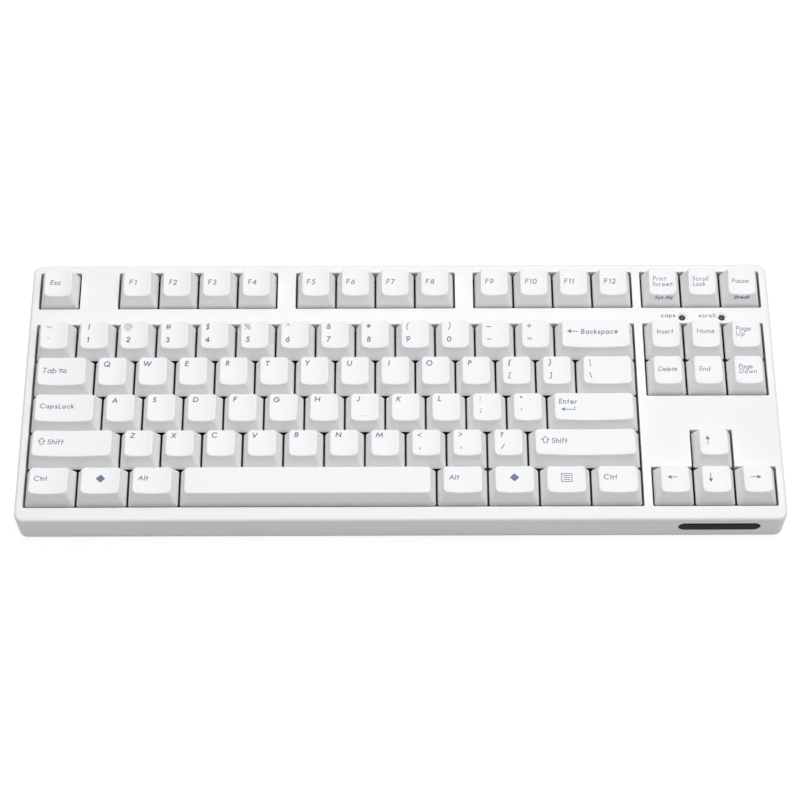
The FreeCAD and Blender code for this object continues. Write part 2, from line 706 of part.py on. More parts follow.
def mounting_plate():
    """The steel plate with a square hole for each switch."""
    inset = CASE_WALL + PLATE_EDGE_GAP
    outline = rounded_outline(-CASE_X + inset, CASE_X - inset, CASE_FRONT + inset,
                              CASE_BACK - inset, PLATE_UNDER, PLATE_CORNER)
    hole = SWITCH_BODY + 2 * SWITCH_FIT
    holes = [square_hole(x, y, PLATE_UNDER, hole, hole) for x, y in key_centres()]
    holes += [circle(field_x(c), field_y(l), PLATE_UNDER, BOSS_HOLE) for c, l in SCREWS]
    holes += [circle(field_x(c), LIGHT_Y, PLATE_UNDER, LIGHT_PLATE_HOLE) for c in LIGHT_COLUMNS]
    room = 2 * CLIP_FOOT_CLEARANCE
    holes += [square_hole(x, y, PLATE_UNDER, CLIP_FOOT_WIDTH + room, CLIP_FOOT_DEPTH + room)
              for x, y in clip_places()]
    return slab(outline, holes, PLATE_UNDER, 0.0)


def circuit_board():
    """The circuit board under the switches, with its drilled holes."""
    inset = CASE_WALL + LIP_CLEARANCE + LIP_THICKNESS + BOARD_EDGE_GAP
    outline = rounded_outline(-CASE_X + inset, CASE_X - inset, CASE_FRONT + inset,
                              CASE_BACK - inset, BOARD_UNDER, BOARD_CORNER)
    holes = []
    for x, y in key_centres():
        holes.append(circle(x, y, BOARD_UNDER, POST_RADIUS + POST_CLEARANCE))
        holes += [circle(x + px, y + py, BOARD_UNDER, CONTACT_HOLE) for px, py in CONTACT_PINS]
    holes += [circle(field_x(c), field_y(l), BOARD_UNDER, BOSS_HOLE) for c, l in SCREWS]
    for column in LIGHT_COLUMNS:
        for side in (-1, 1):
            holes.append(circle(field_x(column) + side * LIGHT_LEG_SPREAD, LIGHT_Y, BOARD_UNDER,
                                LIGHT_LEG / math.sqrt(2) + LEG_HOLE_CLEARANCE))
    return slab(outline, holes, BOARD_UNDER, BOARD_TOP)


def board_components():
    """Diodes, controller chip, crystal and cable socket under the board."""
    solids = []
    for x, y in key_centres():
        solids.append(centred_block(DIODE_LENGTH, DIODE_WIDTH, BOARD_UNDER - DIODE_HEIGHT,
                                    BOARD_UNDER, x, y - DIODE_IN_FRONT))
    y = field_y(ONE + FUNCTION_ROW_GAP / 2)
    x = SOCKET_LENGTH / 2 + CHIP_SPACING
    solids.append(centred_block(CONTROLLER_SIZE, CONTROLLER_SIZE, BOARD_UNDER - CONTROLLER_HEIGHT,
                                BOARD_UNDER, x + CONTROLLER_SIZE / 2, y))
    x += CONTROLLER_SIZE + CHIP_SPACING
    solids.append(centred_block(CRYSTAL_LENGTH, CRYSTAL_WIDTH, BOARD_UNDER - CRYSTAL_HEIGHT,
                                BOARD_UNDER, x + CRYSTAL_LENGTH / 2, y))
    socket = centred_block(SOCKET_LENGTH, SOCKET_WIDTH, BOARD_UNDER - SOCKET_HEIGHT,
                           BOARD_UNDER, 0, y)
    mouth = centred_block(SOCKET_LENGTH - 2 * SOCKET_WALL, SOCKET_WIDTH - 2 * SOCKET_WALL,
                          BOARD_UNDER - SOCKET_HEIGHT - PAST, BOARD_UNDER - SOCKET_WALL, 0, y)
    solids.append(socket.cut(mouth).Solids[0])
    return solids


# ---- Key switch ----------------------------------------------------------------------------------
def contact_slots(clearance, z0, z1):
    """The narrow blocks where the contact pins run, about the switch's middle."""
    return [centred_block(CONTACT_WIDTH + 2 * clearance, CONTACT_THICKNESS + 2 * clearance,
                          z0, z1, x, y) for x, y in CONTACT_PINS]


def switch_base():
    """The lower half of a switch, with its flange, spring well and locating post."""
    cavity = SWITCH_BODY - 2 * SWITCH_WALL
    bore = POLE_RADIUS + POLE_CLEARANCE
    base = fused([centred_block(SWITCH_BODY, SWITCH_BODY, -SWITCH_DEPTH, 0),
                  centred_block(SWITCH_FLANGE, SWITCH_FLANGE, 0, SWITCH_FLANGE_HEIGHT),
                  rod(POST_RADIUS, POST_END, -SWITCH_DEPTH)])
    tools = [centred_block(cavity, cavity, CAVITY_FLOOR, SWITCH_FLANGE_HEIGHT + PAST),
             rod(bore, POST_END + POST_FLOOR, 0)]
    return base.cut(tools + contact_slots(CONTACT_CLEARANCE, -SWITCH_DEPTH - PAST, 0)).Solids[0]


def switch_cover():
    """The upper half of a switch, a hollow tapered cap with a window for the stem."""
    foot = COVER_FOOT - 2 * COVER_WALL
    outer = frustum(COVER_FOOT, COVER_FOOT, SWITCH_FLANGE_HEIGHT,
                    COVER_TOP_WIDTH, COVER_TOP_DEPTH, COVER_TOP)
    inner = frustum(foot, foot, SWITCH_FLANGE_HEIGHT, COVER_TOP_WIDTH - 2 * COVER_WALL,
                    COVER_TOP_DEPTH - 2 * COVER_WALL, COVER_TOP - COVER_ROOF)
    window = centred_block(STEM_WIDTH + 2 * STEM_CLEARANCE, STEM_DEPTH + 2 * STEM_CLEARANCE,
                           SWITCH_FLANGE_HEIGHT, COVER_TOP + PAST)
    return outer.cut([inner, window]).Solids[0]


def cross(clearance, z0, z1):
    """The cross-shaped peg that carries a keycap."""
    return fused([centred_block(CROSS_SPAN + 2 * clearance, CROSS_BAR_X + 2 * clearance, z0, z1),
                  centred_block(CROSS_BAR_Y + 2 * clearance, CROSS_SPAN + 2 * clearance, z0, z1)])


def switch_stem():
    """The sliding stem of a switch: body, stop wings, guide pole and cross."""
    wing_top = COVER_TOP - COVER_ROOF - STEM_STOP_GAP
    pole_end = POST_END + POST_FLOOR + KEY_TRAVEL + STEM_STOP_GAP
    return fused([centred_block(STEM_WIDTH, STEM_DEPTH, STEM_BOTTOM, STEM_TOP),
                  centred_block(STEM_WING_WIDTH, STEM_WING_DEPTH, STEM_BOTTOM, wing_top),
                  rod(POLE_RADIUS, pole_end, STEM_BOTTOM + PAST),
                  cross(0.0, STEM_TOP, STEM_TOP + CROSS_HEIGHT)])


def return_spring():
    """The coil spring between a switch's floor and its stem, of a square wire."""
    half = SPRING_WIRE / 2
    low = CAVITY_FLOOR + SPRING_END_GAP + half
    high = STEM_BOTTOM - SPRING_END_GAP - half
    helix = Part.makeHelix((high - low) / SPRING_TURNS, high - low, SPRING_RADIUS)
    corners = ((-half, -half), (half, -half), (half, half), (-half, half), (-half, -half))
    section = Part.makePolygon([Vector(SPRING_RADIUS + out, 0, up) for out, up in corners])
    coil = Part.Wire(helix.Edges).makePipeShell([section], True, True)
    coil.translate(Vector(0, 0, low))
    return coil.Solids[0] if coil.Solids else Part.Solid(coil)


def switch_contact(pin_x, pin_y):
    """One contact: a leaf inside the switch and a pin through its floor."""
    floor = CAVITY_FLOOR
    tail = centred_block(CONTACT_WIDTH, CONTACT_THICKNESS, -SWITCH_DEPTH - CONTACT_TAIL, floor,
                         pin_x, pin_y)
    foot = block(pin_x - CONTACT_WIDTH / 2, pin_x + CONTACT_WIDTH / 2,
                 pin_y - CONTACT_THICKNESS / 2, CONTACT_LEAF_Y + CONTACT_THICKNESS, floor,
                 floor + CONTACT_THICKNESS)
    leaf = centred_block(CONTACT_LEAF_WIDTH, CONTACT_THICKNESS, floor,
                         floor + CONTACT_LEAF_HEIGHT, pin_x,
                         CONTACT_LEAF_Y + CONTACT_THICKNESS / 2)
    return fused([tail, foot, leaf])


# ---- Keycaps -------------------------------------------------------------------------------------
def sloped(shape, profile):
    """Set a shape drawn about the middle of a cap's top onto its slope."""
    back, front, shift, depth = CAP_PROFILES[profile]
    shape.rotate(ORIGIN, X_AXIS, math.degrees(math.asin((back - front) / depth)))
    shape.translate(Vector(0, shift, RIM + (back + front) / 2))
    return shape


def cap_loft(width, profile, inset, drop):
    """The tapered block of a cap, drawn in by a wall and lowered by a roof."""
    foot_x = (width * KEY_PITCH - CAP_GAP) / 2 - inset
    foot_y = (KEY_PITCH - CAP_GAP) / 2 - inset
    top_x = foot_x - CAP_SIDE_INSET
    top_y = CAP_PROFILES[profile][3] / 2 - inset
    foot = rounded_outline(-foot_x, foot_x, -foot_y, foot_y, RIM,
                           max(CAP_FOOT_CORNER - inset, CAP_FOOT_CORNER / 2))
    top = rounded_outline(-top_x, top_x, -top_y, top_y, -drop,
                          max(CAP_TOP_CORNER - inset, CAP_FOOT_CORNER))
    return Part.makeLoft([foot, sloped(top, profile)], True, True)


def cap_outside(width, profile, crowned):
    """The outer form of a cap: tapered, with a dished or a crowned top."""
    body = cap_loft(width, profile, 0.0, 0.0)
    half = (width * KEY_PITCH - CAP_GAP) / 2 - CAP_SIDE_INSET
    depth = CAP_PROFILES[profile][3]
    if crowned:
        radius = ((depth / 2) ** 2 + SPACE_CROWN ** 2) / (2 * SPACE_CROWN)
        form = cross_rod(radius, -2 * half, 2 * half, 0, -radius - SPACE_CROWN_DROP)
        body = body.common(sloped(form, profile))
    else:
        radius = (half ** 2 + CAP_DISH ** 2) / (2 * CAP_DISH)
        form = Part.makeCylinder(radius, 2 * KEY_PITCH, Vector(0, -KEY_PITCH, radius - CAP_DISH),
                                 Y_AXIS)
        body = body.cut(sloped(form, profile))
    round_faces = [face for face in body.Faces if isinstance(face.Surface, Part.Cylinder)
                   and abs(face.Surface.Radius - radius) < 1e-4]
    top = max(round_faces, key=lambda face: face.Area)
    return body.makeFillet(CAP_EDGE_ROUND, top.Edges)


def homing_bar(profile):
    """The low bar on the two keys where the index fingers rest."""
    depth = CAP_PROFILES[profile][3]
    bar = cross_rod(HOMING_RADIUS, -HOMING_LENGTH / 2, HOMING_LENGTH / 2,
                    -depth / 2 + HOMING_FROM_FRONT, -CAP_DISH - HOMING_RADIUS + HOMING_RISE)
    return sloped(bar, profile)


def keycap(width, profile, span, crowned, homing):
    """One hollow keycap with a boss for the stem and, when wide, for the stabiliser."""
    outside = cap_outside(width, profile, crowned)
    dip = SPACE_CROWN if crowned else CAP_DISH
    inside = cap_loft(width, profile, CAP_WALL, dip + CAP_ROOF)
    back, front, _, _ = CAP_PROFILES[profile]
    reach = RIM + max(back, front)
    bosses = [rod(CAP_BOSS_RADIUS, RIM, reach)]
    slots = [cross(CROSS_CLEARANCE, RIM - PAST, STEM_TOP + CROSS_HEIGHT + CROSS_TIP_ROOM)]
    for side in (-1, 1):
        if span:
            bosses.append(rod(CAP_BOSS_RADIUS, INSERT_TOP, reach, side * span, 0))
            slot = cross(CROSS_CLEARANCE, RIM - PAST, INSERT_TOP + CROSS_HEIGHT + CROSS_TIP_ROOM)
            slots.append(moved(slot, side * span, 0))
    bosses = [boss.common(outside) for boss in bosses]
    cap = outside.cut(inside).fuse(bosses)
    if homing:
        cap = cap.fuse(homing_bar(profile))
    return cap.removeSplitter().cut(slots).Solids[0]


def stabiliser_insert():
    """The plastic foot under a wide cap that the stabiliser wire hooks into."""
    body = block(-INSERT_WIDTH / 2, INSERT_WIDTH / 2, -INSERT_FRONT, INSERT_BACK,
                 INSERT_BOTTOM, INSERT_TOP)
    room = WIRE_RADIUS + WIRE_SLOT_ROOM
    slot = block(-INSERT_WIDTH, INSERT_WIDTH, -INSERT_FRONT + INSERT_SLOT_END, INSERT_BACK + PAST,
                 WIRE_SLOT_CENTRE - room, WIRE_SLOT_CENTRE + room)
    peg = cross(0.0, INSERT_TOP, INSERT_TOP + CROSS_HEIGHT)
    return fused([body.cut(slot), peg])


def stabiliser_wire(span):
    """The bent wire that keeps a wide key level, at rest, about its key's middle."""
    arm_x = span + WIRE_ARM_OUTSIDE
    hook_x = span - WIRE_HOOK_INSIDE
    rest = math.radians(WIRE_REST_ANGLE)
    pivot = Vector(0, WIRE_PIVOT_BACK, WIRE_PIVOT_UP)
    along = Vector(0, -math.cos(rest), math.sin(rest))
    corner_low = pivot + Vector(arm_x, 0, 0)
    corner_high = corner_low + along * WIRE_ARM
    hook = pivot + along * WIRE_ARM + Vector(hook_x, 0, 0)
    mirror = [Vector(-p.x, p.y, p.z) for p in (hook, corner_high, corner_low)]
    points = mirror + [corner_low, corner_high, hook]
    edges = []
    start = points[0]
    for before, corner, after in zip(points, points[1:], points[2:]):
        arrive = corner + (before - corner).normalize() * WIRE_BEND
        leave = corner + (after - corner).normalize() * WIRE_BEND
        turn = corner + ((arrive - corner) + (leave - corner)) * (1 - math.sqrt(0.5))
        edges.append(Part.LineSegment(start, arrive).toShape())
        edges.append(Part.Arc(arrive, turn, leave).toShape())
        start = leave
    edges.append(Part.LineSegment(start, points[-1]).toShape())
    section = Part.Wire([Part.makeCircle(WIRE_RADIUS, points[0], X_AXIS)])
    pipe = Part.Wire(edges).makePipeShell([section], True, False)
    return pipe.Solids[0] if pipe.Solids else Part.Solid(pipe)


def stabiliser_clip():
    """A clip that snaps into the plate and holds a stabiliser wire, about the wire's line."""
    top = WIRE_PIVOT_UP + WIRE_RADIUS + CLIP_OVER_WIRE
    body = centred_block(CLIP_WIDTH, CLIP_DEPTH, 0, top)
    foot = centred_block(CLIP_FOOT_WIDTH, CLIP_FOOT_DEPTH, PLATE_UNDER - CLIP_FOOT_BELOW_PLATE, 0)
    bore = cross_rod(WIRE_RADIUS + WIRE_FIT, -CLIP_WIDTH, CLIP_WIDTH, 0, WIRE_PIVOT_UP)
    return fused([body, foot]).cut(bore).Solids[0]


# ---- Small parts -----------------------------------------------------------------------------------
def case_screw():
    """A pan-head screw that holds the shells together, drawn at its seat, head down."""
    shank = rod(SCREW_RADIUS, SCREW_SEAT, SCREW_SEAT + SCREW_GRIP + SCREW_BITE)
    head_end = SCREW_SEAT - SCREW_HEAD_HEIGHT
    head = rod(SCREW_HEAD_RADIUS, head_end, SCREW_SEAT)
    head = head.makeChamfer(SCREW_HEAD_BEVEL, [head.Edges[2]])
    drive_end = head_end + SCREW_DRIVE_DEPTH
    slots = [centred_block(length, width, head_end - PAST, drive_end)
             for length, width in ((SCREW_DRIVE_SPAN, SCREW_DRIVE_WIDTH),
                                   (SCREW_DRIVE_WIDTH, SCREW_DRIVE_SPAN))]
    return fused([shank, head]).cut(slots).Solids[0]


def indicator_light():
    """A small lamp with a domed top and two legs into the circuit board."""
    dome_z = LIGHT_TOP - LIGHT_RADIUS
    body = rod(LIGHT_RADIUS, LIGHT_TOP - LIGHT_BODY, dome_z)
    dome = Part.makeSphere(LIGHT_RADIUS, Vector(0, 0, dome_z)).common(
        centred_block(4 * LIGHT_RADIUS, 4 * LIGHT_RADIUS, dome_z, LIGHT_TOP + PAST))
    legs = [centred_block(LIGHT_LEG, LIGHT_LEG, BOARD_UNDER - LIGHT_LEG, LIGHT_TOP - LIGHT_BODY / 2,
                          side * LIGHT_LEG_SPREAD, 0) for side in (-1, 1)]
    legs = [leg.common(centred_block(2 * LIGHT_RADIUS, 2 * LIGHT_LEG, BOARD_UNDER - PAST, LIGHT_TOP))
            for leg in legs]
    return fused([body, dome] + legs)


def badge_shape(grow, thickness, y_back):
    """A pill-shaped block on the front wall, from a depth inside it outwards."""
    half = BADGE_LENGTH / 2 + grow
    radius = BADGE_HEIGHT / 2 + grow
    x = CASE_X - BADGE_FROM_SIDE
    z = BEZEL_RISE - BADGE_BELOW_BEZEL
    pill = rounded_block(-half, half, -radius, radius, 0, thickness, radius * END_ROUND)
    pill.rotate(ORIGIN, X_AXIS, 90)
    pill.translate(Vector(x, y_back, z))
    return pill


def front_badge():
    """The blank dark badge set into the front wall."""
    badge = badge_shape(0.0, BADGE_THICKNESS, CASE_FRONT + BADGE_RECESS)
    front = CASE_FRONT + BADGE_RECESS - BADGE_THICKNESS
    rim = [edge for edge in badge.Edges
           if max(vertex.Y for vertex in edge.Vertexes) < front + BADGE_BEVEL / 2]
    return badge.makeChamfer(BADGE_BEVEL, rim)


def cable_gland():
    """The rubber grommet in the back wall, with the bore that a cable would pass."""
    inside = CASE_BACK - CASE_WALL
    parts = [Part.makeCylinder(GLAND_FLANGE, GLAND_FLANGE_THICKNESS,
                               Vector(0, inside - GLAND_FLANGE_THICKNESS, GLAND_HEIGHT), Y_AXIS),
             Part.makeCylinder(GLAND_BODY, CASE_WALL + 2 * GLAND_FLANGE_THICKNESS,
                               Vector(0, inside - GLAND_FLANGE_THICKNESS, GLAND_HEIGHT), Y_AXIS),
             Part.makeCylinder(GLAND_NECK, GLAND_FLANGE_THICKNESS,
                               Vector(0, CASE_BACK, GLAND_HEIGHT), Y_AXIS)]
    bore = Part.makeCylinder(GLAND_BORE, 4 * CASE_WALL,
                             Vector(0, inside - CASE_WALL, GLAND_HEIGHT), Y_AXIS)
    return fused(parts).cut(bore).Solids[0]


def rubber_pad(x, along):
    """One rubber pad, let into the underside and standing proud of it."""
    pad = pad_block(x, along, 0.0, -PAD_PROUD, PAD_RECESS)
    rim = [edge for edge in pad.Edges
           if max(vertex.Z for vertex in edge.Vertexes) < -PAD_PROUD / 2]
    return on_base(pad.makeFillet(PAD_EDGE_ROUND, rim))


def foot_leg():
    """A folding foot, folded, about the middle of the case, over the base."""
    half = FOOT_WIDTH / 2
    tip = FOOT_PIVOT_ALONG - FOOT_LENGTH
    plate = block(-half, half, tip, FOOT_PIVOT_ALONG, FOOT_RECESS, FOOT_RECESS + FOOT_THICKNESS)
    barrel = cross_rod(FOOT_BARREL, -half, half, FOOT_PIVOT_ALONG, FOOT_PIVOT_UP)
    reach = half + FOOT_SIDE_GAP + FOOT_PIN_LENGTH
    pins = cross_rod(FOOT_PIN, -reach, reach, FOOT_PIVOT_ALONG, FOOT_PIVOT_UP)
    return fused([plate, barrel, pins]).cut(sole_tongue(FOOT_SOLE_FIT, tip)).Solids[0]


def sole_tongue(grow, tip):
    """The tongue that holds a foot's rubber sole in the foot."""
    middle = FOOT_RECESS + FOOT_THICKNESS / 2
    half = FOOT_SOLE_TONGUE_WIDTH / 2 + grow
    return block(-half, half, tip - 0.5 * FOOT_SOLE, tip + FOOT_SOLE_TONGUE + grow,
                 middle - FOOT_THICKNESS / 6 - grow, middle + FOOT_THICKNESS / 6 + grow)


def foot_sole():
    """The rubber sole on the end of a folding foot."""
    half = FOOT_WIDTH / 2
    tip = FOOT_PIVOT_ALONG - FOOT_LENGTH
    sole = block(-half, half, tip - FOOT_SOLE, tip, FOOT_RECESS, FOOT_RECESS + FOOT_THICKNESS)
    return fused([sole, sole_tongue(0.0, tip)])


# ---- Assembly --------------------------------------------------------------------------------------
def key_nodes():
    """Each group of keys as a list of solids: caps, stems and stabiliser feet."""
    stem = switch_stem()
    insert = stabiliser_insert()
    made = {}
    nodes = {}
    for name, profile, keys in key_groups():
        span = STABILISED.get(name, 0.0)
        solids = []
        for index, (x, y, width) in enumerate(keys):
            homing = (name, index) in HOMING_KEYS
            kind = (width, profile, span, name == "space_bar", homing)
            if kind not in made:
                made[kind] = keycap(*kind)
            solids.append(moved(made[kind], x, y))
            solids.append(moved(stem, x, y))
            if span:
                solids += [moved(insert, x + side * span, y) for side in (-1, 1)]
        nodes[name] = solids
    return nodes


def fixed_nodes():
    """Everything that stands still in the case."""
    centres = key_centres()
    base, cover, spring = switch_base(), switch_cover(), return_spring()
    contacts = [switch_contact(*pin) for pin in CONTACT_PINS]
    screw, light, clip = case_screw(), indicator_light(), stabiliser_clip()
    return {
        "top_case": [top_case()],
        "bottom_case": [bottom_case()],
        "mounting_plate": [mounting_plate()],
        "circuit_board": [circuit_board()],
        "board_components": board_components(),
        "switch_bases": [moved(base, x, y) for x, y in centres],
        "switch_covers": [moved(cover, x, y) for x, y in centres],
        "switch_contacts": [moved(contact, x, y) for x, y in centres for contact in contacts],
        "return_springs": [moved(spring, x, y) for x, y in centres],
        "stabiliser_clips": [moved(clip, x, y) for x, y in clip_places()],
        "case_screws": [moved(screw, field_x(c), field_y(l)) for c, l in SCREWS],
        "rubber_feet": [rubber_pad(x, along) for x, along in pad_places()],
        "indicator_lights": [moved(light, field_x(c), LIGHT_Y) for c in LIGHT_COLUMNS],
        "cable_gland": [cable_gland()],
        "front_badge": [front_badge()],
    }


def moving_nodes():
    """The stabiliser wires and the folding feet."""
    nodes = {}
    for name, x, y, span in stabilisers():
        nodes[name.replace("_key", "") + "_wire"] = [moved(stabiliser_wire(span), x, y)]
    for side, label in ((-1, "left"), (1, "right")):
        nodes[label + "_foot"] = [on_base(moved(foot_leg(), side * FOOT_X, 0))]
        nodes[label + "_foot_sole"] = [on_base(moved(foot_sole(), side * FOOT_X, 0))]
    return nodes


def world_shift():
    """The move, after the turn, that centres the case and stands its pads on Z = 0."""
    body = case_envelope()
    body.rotate(ORIGIN, X_AXIS, DECK_TILT)
    bounds = body.optimalBoundingBox(False)
    gland = Vector(0, CASE_BACK + GLAND_FLANGE_THICKNESS, GLAND_HEIGHT + GLAND_NECK)
    back = max(bounds.YMax, turned(gland).y, turned(gland - Vector(0, 0, 2 * GLAND_NECK)).y)
    badge = Vector(0, CASE_FRONT + BADGE_RECESS - BADGE_THICKNESS,
                   BEZEL_RISE - BADGE_BELOW_BEZEL + BADGE_HEIGHT / 2 - BADGE_BEVEL)
    front = min(bounds.YMin, turned(badge).y)
    return Vector(0, -(back + front) / 2, PAD_PROUD - bounds.ZMin)


def turned(point):
    """A point of the deck frame after the turn onto the level base."""
    tilt = math.radians(DECK_TILT)
    return Vector(point.x, point.y * math.cos(tilt) - point.z * math.sin(tilt),
                  point.y * math.sin(tilt) + point.z * math.cos(tilt))


def main():
    """Build every piece, set it in the level frame and write one file for each."""
    os.makedirs("parts", exist_ok=True)
    shift = world_shift()
    nodes = fixed_nodes()
    nodes.update(moving_nodes())
    nodes.update(key_nodes())
    for name, solids in nodes.items():
        shape = Part.makeCompound(solids) if len(solids) > 1 else solids[0]
        shape.rotate(ORIGIN, X_AXIS, DECK_TILT)
        shape.translate(shift)
        shape.exportStep(os.path.join("parts", name + ".step"))
        print(name, len(shape.Solids), "solids", round(shape.Volume, 1), "mm3",
              "valid" if shape.isValid() else "NOT VALID")


if __name__ == "__main__":
    main()
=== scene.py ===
"""Finishes a mechanical keyboard: its materials, its printing and the stage that it stands on.

The keyboard's solids are loaded as they are and get the finish of their real materials. New pieces
are the printed legends on the keycaps and on the fronts of two of them, the two words beside the
indicator lights and a blank label under the base. The stage is a pale floor, a soft overhead light
and one camera.

Legends are drawn with a single-line alphabet: each glyph is a few strokes of a pen with square
ends, and a stroke is a ribbon laid on the surface of the key that it is printed on.
"""

import json
import math

import bpy
import numpy as np
from bpy.props import FloatProperty, FloatVectorProperty, PointerProperty, StringProperty
from bpy.types import Operator, Panel, PropertyGroup
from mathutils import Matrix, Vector


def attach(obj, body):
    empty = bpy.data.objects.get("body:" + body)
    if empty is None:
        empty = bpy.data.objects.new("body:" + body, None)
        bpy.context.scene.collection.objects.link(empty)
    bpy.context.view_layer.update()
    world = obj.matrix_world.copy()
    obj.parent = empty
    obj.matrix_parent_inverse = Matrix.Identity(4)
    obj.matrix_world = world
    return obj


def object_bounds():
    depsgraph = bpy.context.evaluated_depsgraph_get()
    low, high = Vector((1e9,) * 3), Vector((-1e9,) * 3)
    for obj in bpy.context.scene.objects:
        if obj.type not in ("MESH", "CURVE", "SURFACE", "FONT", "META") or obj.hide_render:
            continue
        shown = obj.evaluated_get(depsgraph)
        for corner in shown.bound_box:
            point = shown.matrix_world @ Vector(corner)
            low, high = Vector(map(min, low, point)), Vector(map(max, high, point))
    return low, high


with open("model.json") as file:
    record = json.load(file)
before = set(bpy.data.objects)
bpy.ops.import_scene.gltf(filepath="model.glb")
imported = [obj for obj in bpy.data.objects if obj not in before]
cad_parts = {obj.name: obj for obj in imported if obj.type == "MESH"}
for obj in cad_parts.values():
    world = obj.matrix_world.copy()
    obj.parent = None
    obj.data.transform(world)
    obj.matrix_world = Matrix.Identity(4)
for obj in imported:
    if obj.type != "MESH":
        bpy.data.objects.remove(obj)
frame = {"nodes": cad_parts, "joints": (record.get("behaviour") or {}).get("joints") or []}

bl_info = {
    "name": "Mechanical keyboard finish",
    "version": (1, 0, 0),
    "blender": (4, 5, 0),
    "location": "3D View > Sidebar > Keyboard",
    "description": "Prints the legends, finishes the materials and sets the stage of a keyboard",
    "category": "Object",
}

MM = 0.001
CAD_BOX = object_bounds()
PRESS_AXIS = frame["joints"][0]["axis"]
DECK_TILT = math.atan2(PRESS_AXIS[1], -PRESS_AXIS[2])

# ---------------------------------------------------------------------------------------------
# Keys: the width of each keycap in a node, in units of the key pitch, from left to right. The
# keys of the other nodes are one unit wide. The pitch, and the widest gap that can lie between
# two keycaps, are in mm.
# ---------------------------------------------------------------------------------------------

KEY_PITCH = 19.05
WIDEST_GAP = 3.0
KEY_WIDTHS = {
    "backspace_key": (2.0,),
    "tab_key": (1.5,),
    "backslash_key": (1.5,),
    "caps_lock_key": (1.75,),
    "enter_key": (2.25,),
    "left_shift_key": (2.25,),
    "right_shift_key": (2.75,),
    "left_modifier_keys": (1.25,) * 3,
    "right_modifier_keys": (1.25,) * 4,
}

# ---------------------------------------------------------------------------------------------
# The alphabet. A glyph is (width, strokes), measured between the middles of its strokes, with
# the height of a capital as 1. In a stroke (x, y) is a corner, (x, y, half) is a corner with a
# half width of its own in mm, and (x, y, across, up, first, last) is an elliptical arc round
# (x, y) with its two radii and its first and last angle in degrees.
# ---------------------------------------------------------------------------------------------

BOWL = (0.32, 0.32, 0.32, 0.32, 0, 360)
DOT = 0.11

CAPITALS = {
    "A": (0.90, [[(0, 0), (0.45, 1), (0.9, 0)], [(0.15, 0.33), (0.75, 0.33)]]),
    "B": (0.62, [[(0, 0), (0, 1), (0.34, 1), (0.34, 0.76, 0.22, 0.24, 90, -90), (0, 0.52)],
                 [(0, 0.52), (0.36, 0.26, 0.26, 0.26, 90, -90), (0, 0)]]),
    "C": (0.94, [[(0.56, 0.5, 0.56, 0.56, 48, 312)]]),
    "D": (0.92, [[(0, 0), (0, 1), (0.4, 1), (0.4, 0.5, 0.52, 0.5, 90, -90), (0, 0)]]),
    "E": (0.50, [[(0.5, 1), (0, 1), (0, 0), (0.5, 0)], [(0, 0.52), (0.46, 0.52)]]),
    "F": (0.50, [[(0.5, 1), (0, 1), (0, 0)], [(0, 0.52), (0.44, 0.52)]]),
    "G": (1.08, [[(0.54, 0.5, 0.54, 0.54, 45, 350), (1.07, 0.46), (0.62, 0.46)]]),
    "H": (0.86, [[(0, 0), (0, 1)], [(0.86, 0), (0.86, 1)], [(0, 0.5), (0.86, 0.5)]]),
    "I": (0.0, [[(0, 0), (0, 1)]]),
    "J": (0.34, [[(0.34, 1), (0.34, 0.2), (0.12, 0.2, 0.22, 0.24, 0, -120)]]),
    "K": (0.64, [[(0, 0), (0, 1)], [(0.6, 1), (0.02, 0.45)], [(0.2, 0.62), (0.64, 0)]]),
    "L": (0.46, [[(0, 1), (0, 0), (0.46, 0)]]),
    "M": (1.24, [[(0, 0), (0.14, 1), (0.62, 0.12), (1.1, 1), (1.24, 0)]]),
    "N": (0.92, [[(0, 0), (0, 1), (0.92, 0), (0.92, 1)]]),
    "O": (1.12, [[(0.56, 0.5, 0.56, 0.56, 0, 360)]]),
    "P": (0.52, [[(0, 0), (0, 1), (0.26, 1), (0.26, 0.74, 0.26, 0.26, 90, -90), (0, 0.48)]]),
    "Q": (1.12, [[(0.56, 0.5, 0.56, 0.56, 0, 360)], [(0.66, 0.28), (1.14, -0.1)]]),
    "R": (0.56, [[(0, 0), (0, 1), (0.26, 1), (0.26, 0.74, 0.26, 0.26, 90, -90), (0, 0.48)],
                 [(0.24, 0.48), (0.56, 0)]]),
    "S": (0.54, [[(0.27, 0.76, 0.25, 0.24, 40, 270), (0.27, 0.26, 0.27, 0.26, 90, -140)]]),
    "T": (0.62, [[(0, 1), (0.62, 1)], [(0.31, 1), (0.31, 0)]]),
    "U": (0.82, [[(0, 1), (0.41, 0.38, 0.41, 0.4, 180, 360), (0.82, 1)]]),
    "V": (0.84, [[(0, 1), (0.42, 0), (0.84, 1)]]),
    "W": (1.48, [[(0, 1), (0.37, 0), (0.74, 1), (1.11, 0), (1.48, 1)]]),
    "X": (0.68, [[(0, 0), (0.68, 1)], [(0, 1), (0.68, 0)]]),
    "Y": (0.68, [[(0, 1), (0.34, 0.48), (0.68, 1)], [(0.34, 0.48), (0.34, 0)]]),
    "Z": (0.64, [[(0.03, 1), (0.62, 1), (0, 0), (0.64, 0)]]),
}

